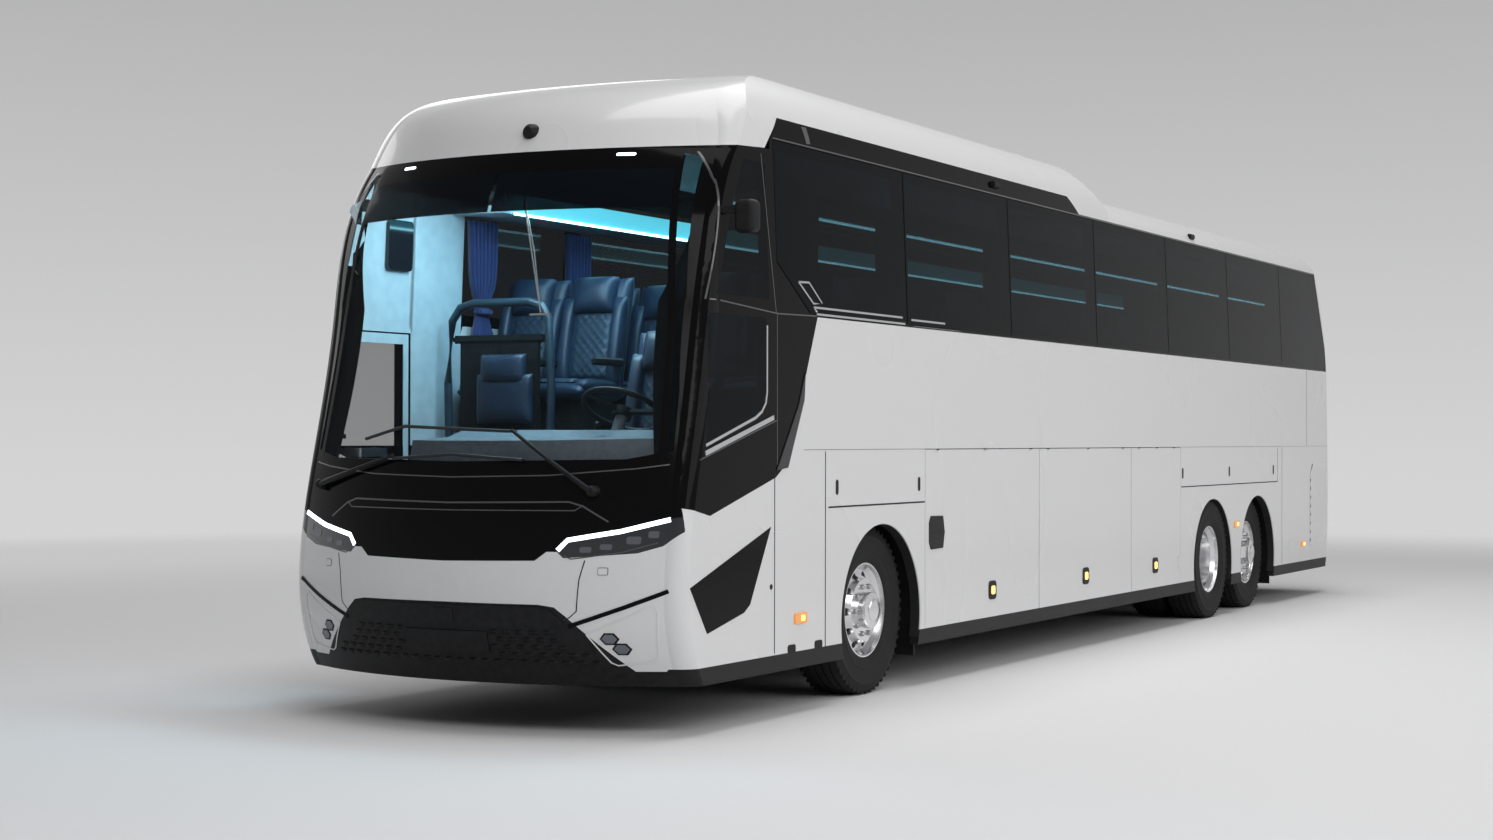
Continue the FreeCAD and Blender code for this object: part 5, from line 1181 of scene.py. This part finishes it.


# pale studio: a wide dish whose rim goes up, shaded near the coach; far out the camera, glossy and
# transmission rays see a painted grey glow that darkens up the rim, a painted falloff of light

studio = {
    "steps": 96,
    "rings": [(0.001, 0), (12, 0), (30, 0), (45, 0.0), (52, 0.8), (58, 3.5), (62, 9), (64, 18), (64, 45)],
    "floor": (0.74, 0.74, 0.745, 1),
    # the painted glow of the far dish: this grey at its foot, the next one high up the rim, a painted falloff
    # of light
    "near": (0.66, 0.66, 0.665),
    "high": (0.40, 0.40, 0.405),
    "shadedTo": {"From Min": 9.0, "From Max": 23.0},
    "climb": {"From Min": 0.0, "From Max": 22.0},
    "air": {"Color": (0.62, 0.62, 0.63, 1), "Strength": 0.4},
}


def makeStage():
    work = bmesh.new()
    turns = [2 * math.pi * k / studio["steps"] for k in range(studio["steps"])]
    bridge(work, [[work.verts.new((radius * math.cos(turn), radius * math.sin(turn), height))
                   for turn in turns] for radius, height in studio["rings"]])
    shape = meshOf("studioDish", work)
    for face in shape.polygons:
        face.use_smooth = True
    linked("studioDish", shape)
    made = bpy.data.materials.new("studioGrey")
    made.use_nodes = True
    made.node_tree.nodes.remove(made.node_tree.nodes["Principled BSDF"])
    plain = addNode(made, "ShaderNodeBsdfDiffuse", Color=studio["floor"])
    place = addNode(made, "ShaderNodeTexCoord").outputs["Object"]
    split = addNode(made, "ShaderNodeSeparateXYZ", place)
    length = addNode(made, "ShaderNodeVectorMath", place, operation="LENGTH")
    reach = addNode(made, "ShaderNodeMapRange", length.outputs["Value"], interpolation_type="SMOOTHSTEP",
                    **studio["shadedTo"])
    # painted falloff: the glow seen far out darkens with height
    climb = addNode(made, "ShaderNodeMapRange", split.outputs["Z"], **studio["climb"])
    paintedGlowTone = rampOf(made, climb.outputs["Result"], studio["near"], studio["high"])
    glow = addNode(made, "ShaderNodeEmission", paintedGlowTone)
    path = addNode(made, "ShaderNodeLightPath").outputs
    seen = addNode(made, "ShaderNodeMath", path["Is Camera Ray"], path["Is Transmission Ray"],
                   operation="MAXIMUM")
    seenAll = addNode(made, "ShaderNodeMath", seen.outputs[0], path["Is Glossy Ray"], operation="MAXIMUM")
    share = addNode(made, "ShaderNodeMath", seenAll.outputs[0], reach.outputs["Result"], operation="MULTIPLY")
    mix = addNode(made, "ShaderNodeMixShader", share.outputs[0], plain.outputs[0], glow.outputs[0])
    link(made, mix.outputs[0], made.node_tree.nodes["Material Output"].inputs["Surface"])
    shape.materials.append(made)


# name, place, target, size, watts and colour of each lamp
lamps = [
    ("sideBox", (2, 17, 8), (0, 0, 1.4), (20, 8), 1080, (1, 1, 1)),
    ("topBox", (0, 1.5, 13), (0, 0, 0), (19, 7), 1150, (1, 1, 1)),
    ("frontBox", (14, 9, 9), (6, 0, 1.2), (7, 5), 470, (1, 1, 1)),
    ("farBox", (-6, -16, 8), (0, 0, 1.4), (20, 7), 650, (1, 1, 1)),
    ("saloonLight", (0.5, 0, 3.25), (0.5, 0, 1.5), (10, 0.5), 60, (0.35, 0.8, 1.0)),
    ("cabLight", (6.0, -0.1, 3.0), (5.9, -0.4, 1.4), (0.5, 1.5), 42, (0.5, 0.85, 1.0)),
    ("rowLight", (5.15, 0, 3.15), (4.8, 0, 1.8), (0.5, 1.6), 22, (0.4, 0.75, 1.0)),
]


def makeLights():
    world = bpy.data.worlds.new("studioAir")
    bpy.context.scene.world = world
    world.use_nodes = True
    for key, value in studio["air"].items():
        world.node_tree.nodes["Background"].inputs[key].default_value = value
    for name, spot, target, size, watts, colour in lamps:
        data = bpy.data.lights.new(name, "AREA")
        data.shape = "RECTANGLE"
        data.size, data.size_y = size
        data.energy = watts
        data.color = colour
        lamp = linked(name, data)
        lamp.location = spot
        lamp.rotation_euler = (Vector(target) - Vector(spot)).to_track_quat("-Z", "Y").to_euler()


# where the photo was taken from, in metres, radians and pixels
view = {"place": (16.9495, 7.1501, 1.5619), "yaw": -2.6505, "pitch": 0.0083, "roll": 0.0019,
        "focalPixels": 2292.2, "frameWidth": 1493}


def makeCamera():
    data = bpy.data.cameras.new("photoCamera")
    data.sensor_width = 36.0
    data.lens = view["focalPixels"] / view["frameWidth"] * data.sensor_width
    camera = linked("photoCamera", data)
    yaw, pitch, roll = view["yaw"], view["pitch"], view["roll"]
    ahead = Vector((math.cos(yaw) * math.cos(pitch), math.sin(yaw) * math.cos(pitch), math.sin(pitch)))
    right = Vector((math.sin(yaw), -math.cos(yaw), 0))
    up = right.cross(ahead)
    right, up = right * math.cos(roll) + up * math.sin(roll), up * math.cos(roll) - right * math.sin(roll)
    turn = Matrix((right, up, -ahead)).transposed().to_4x4()
    camera.matrix_world = Matrix.Translation(view["place"]) @ turn
    bpy.context.scene.camera = camera


makeStage()
makeLights()
makeCamera()
bpy.context.scene.view_settings.view_transform = "Standard"
print("stage, lights and camera set")
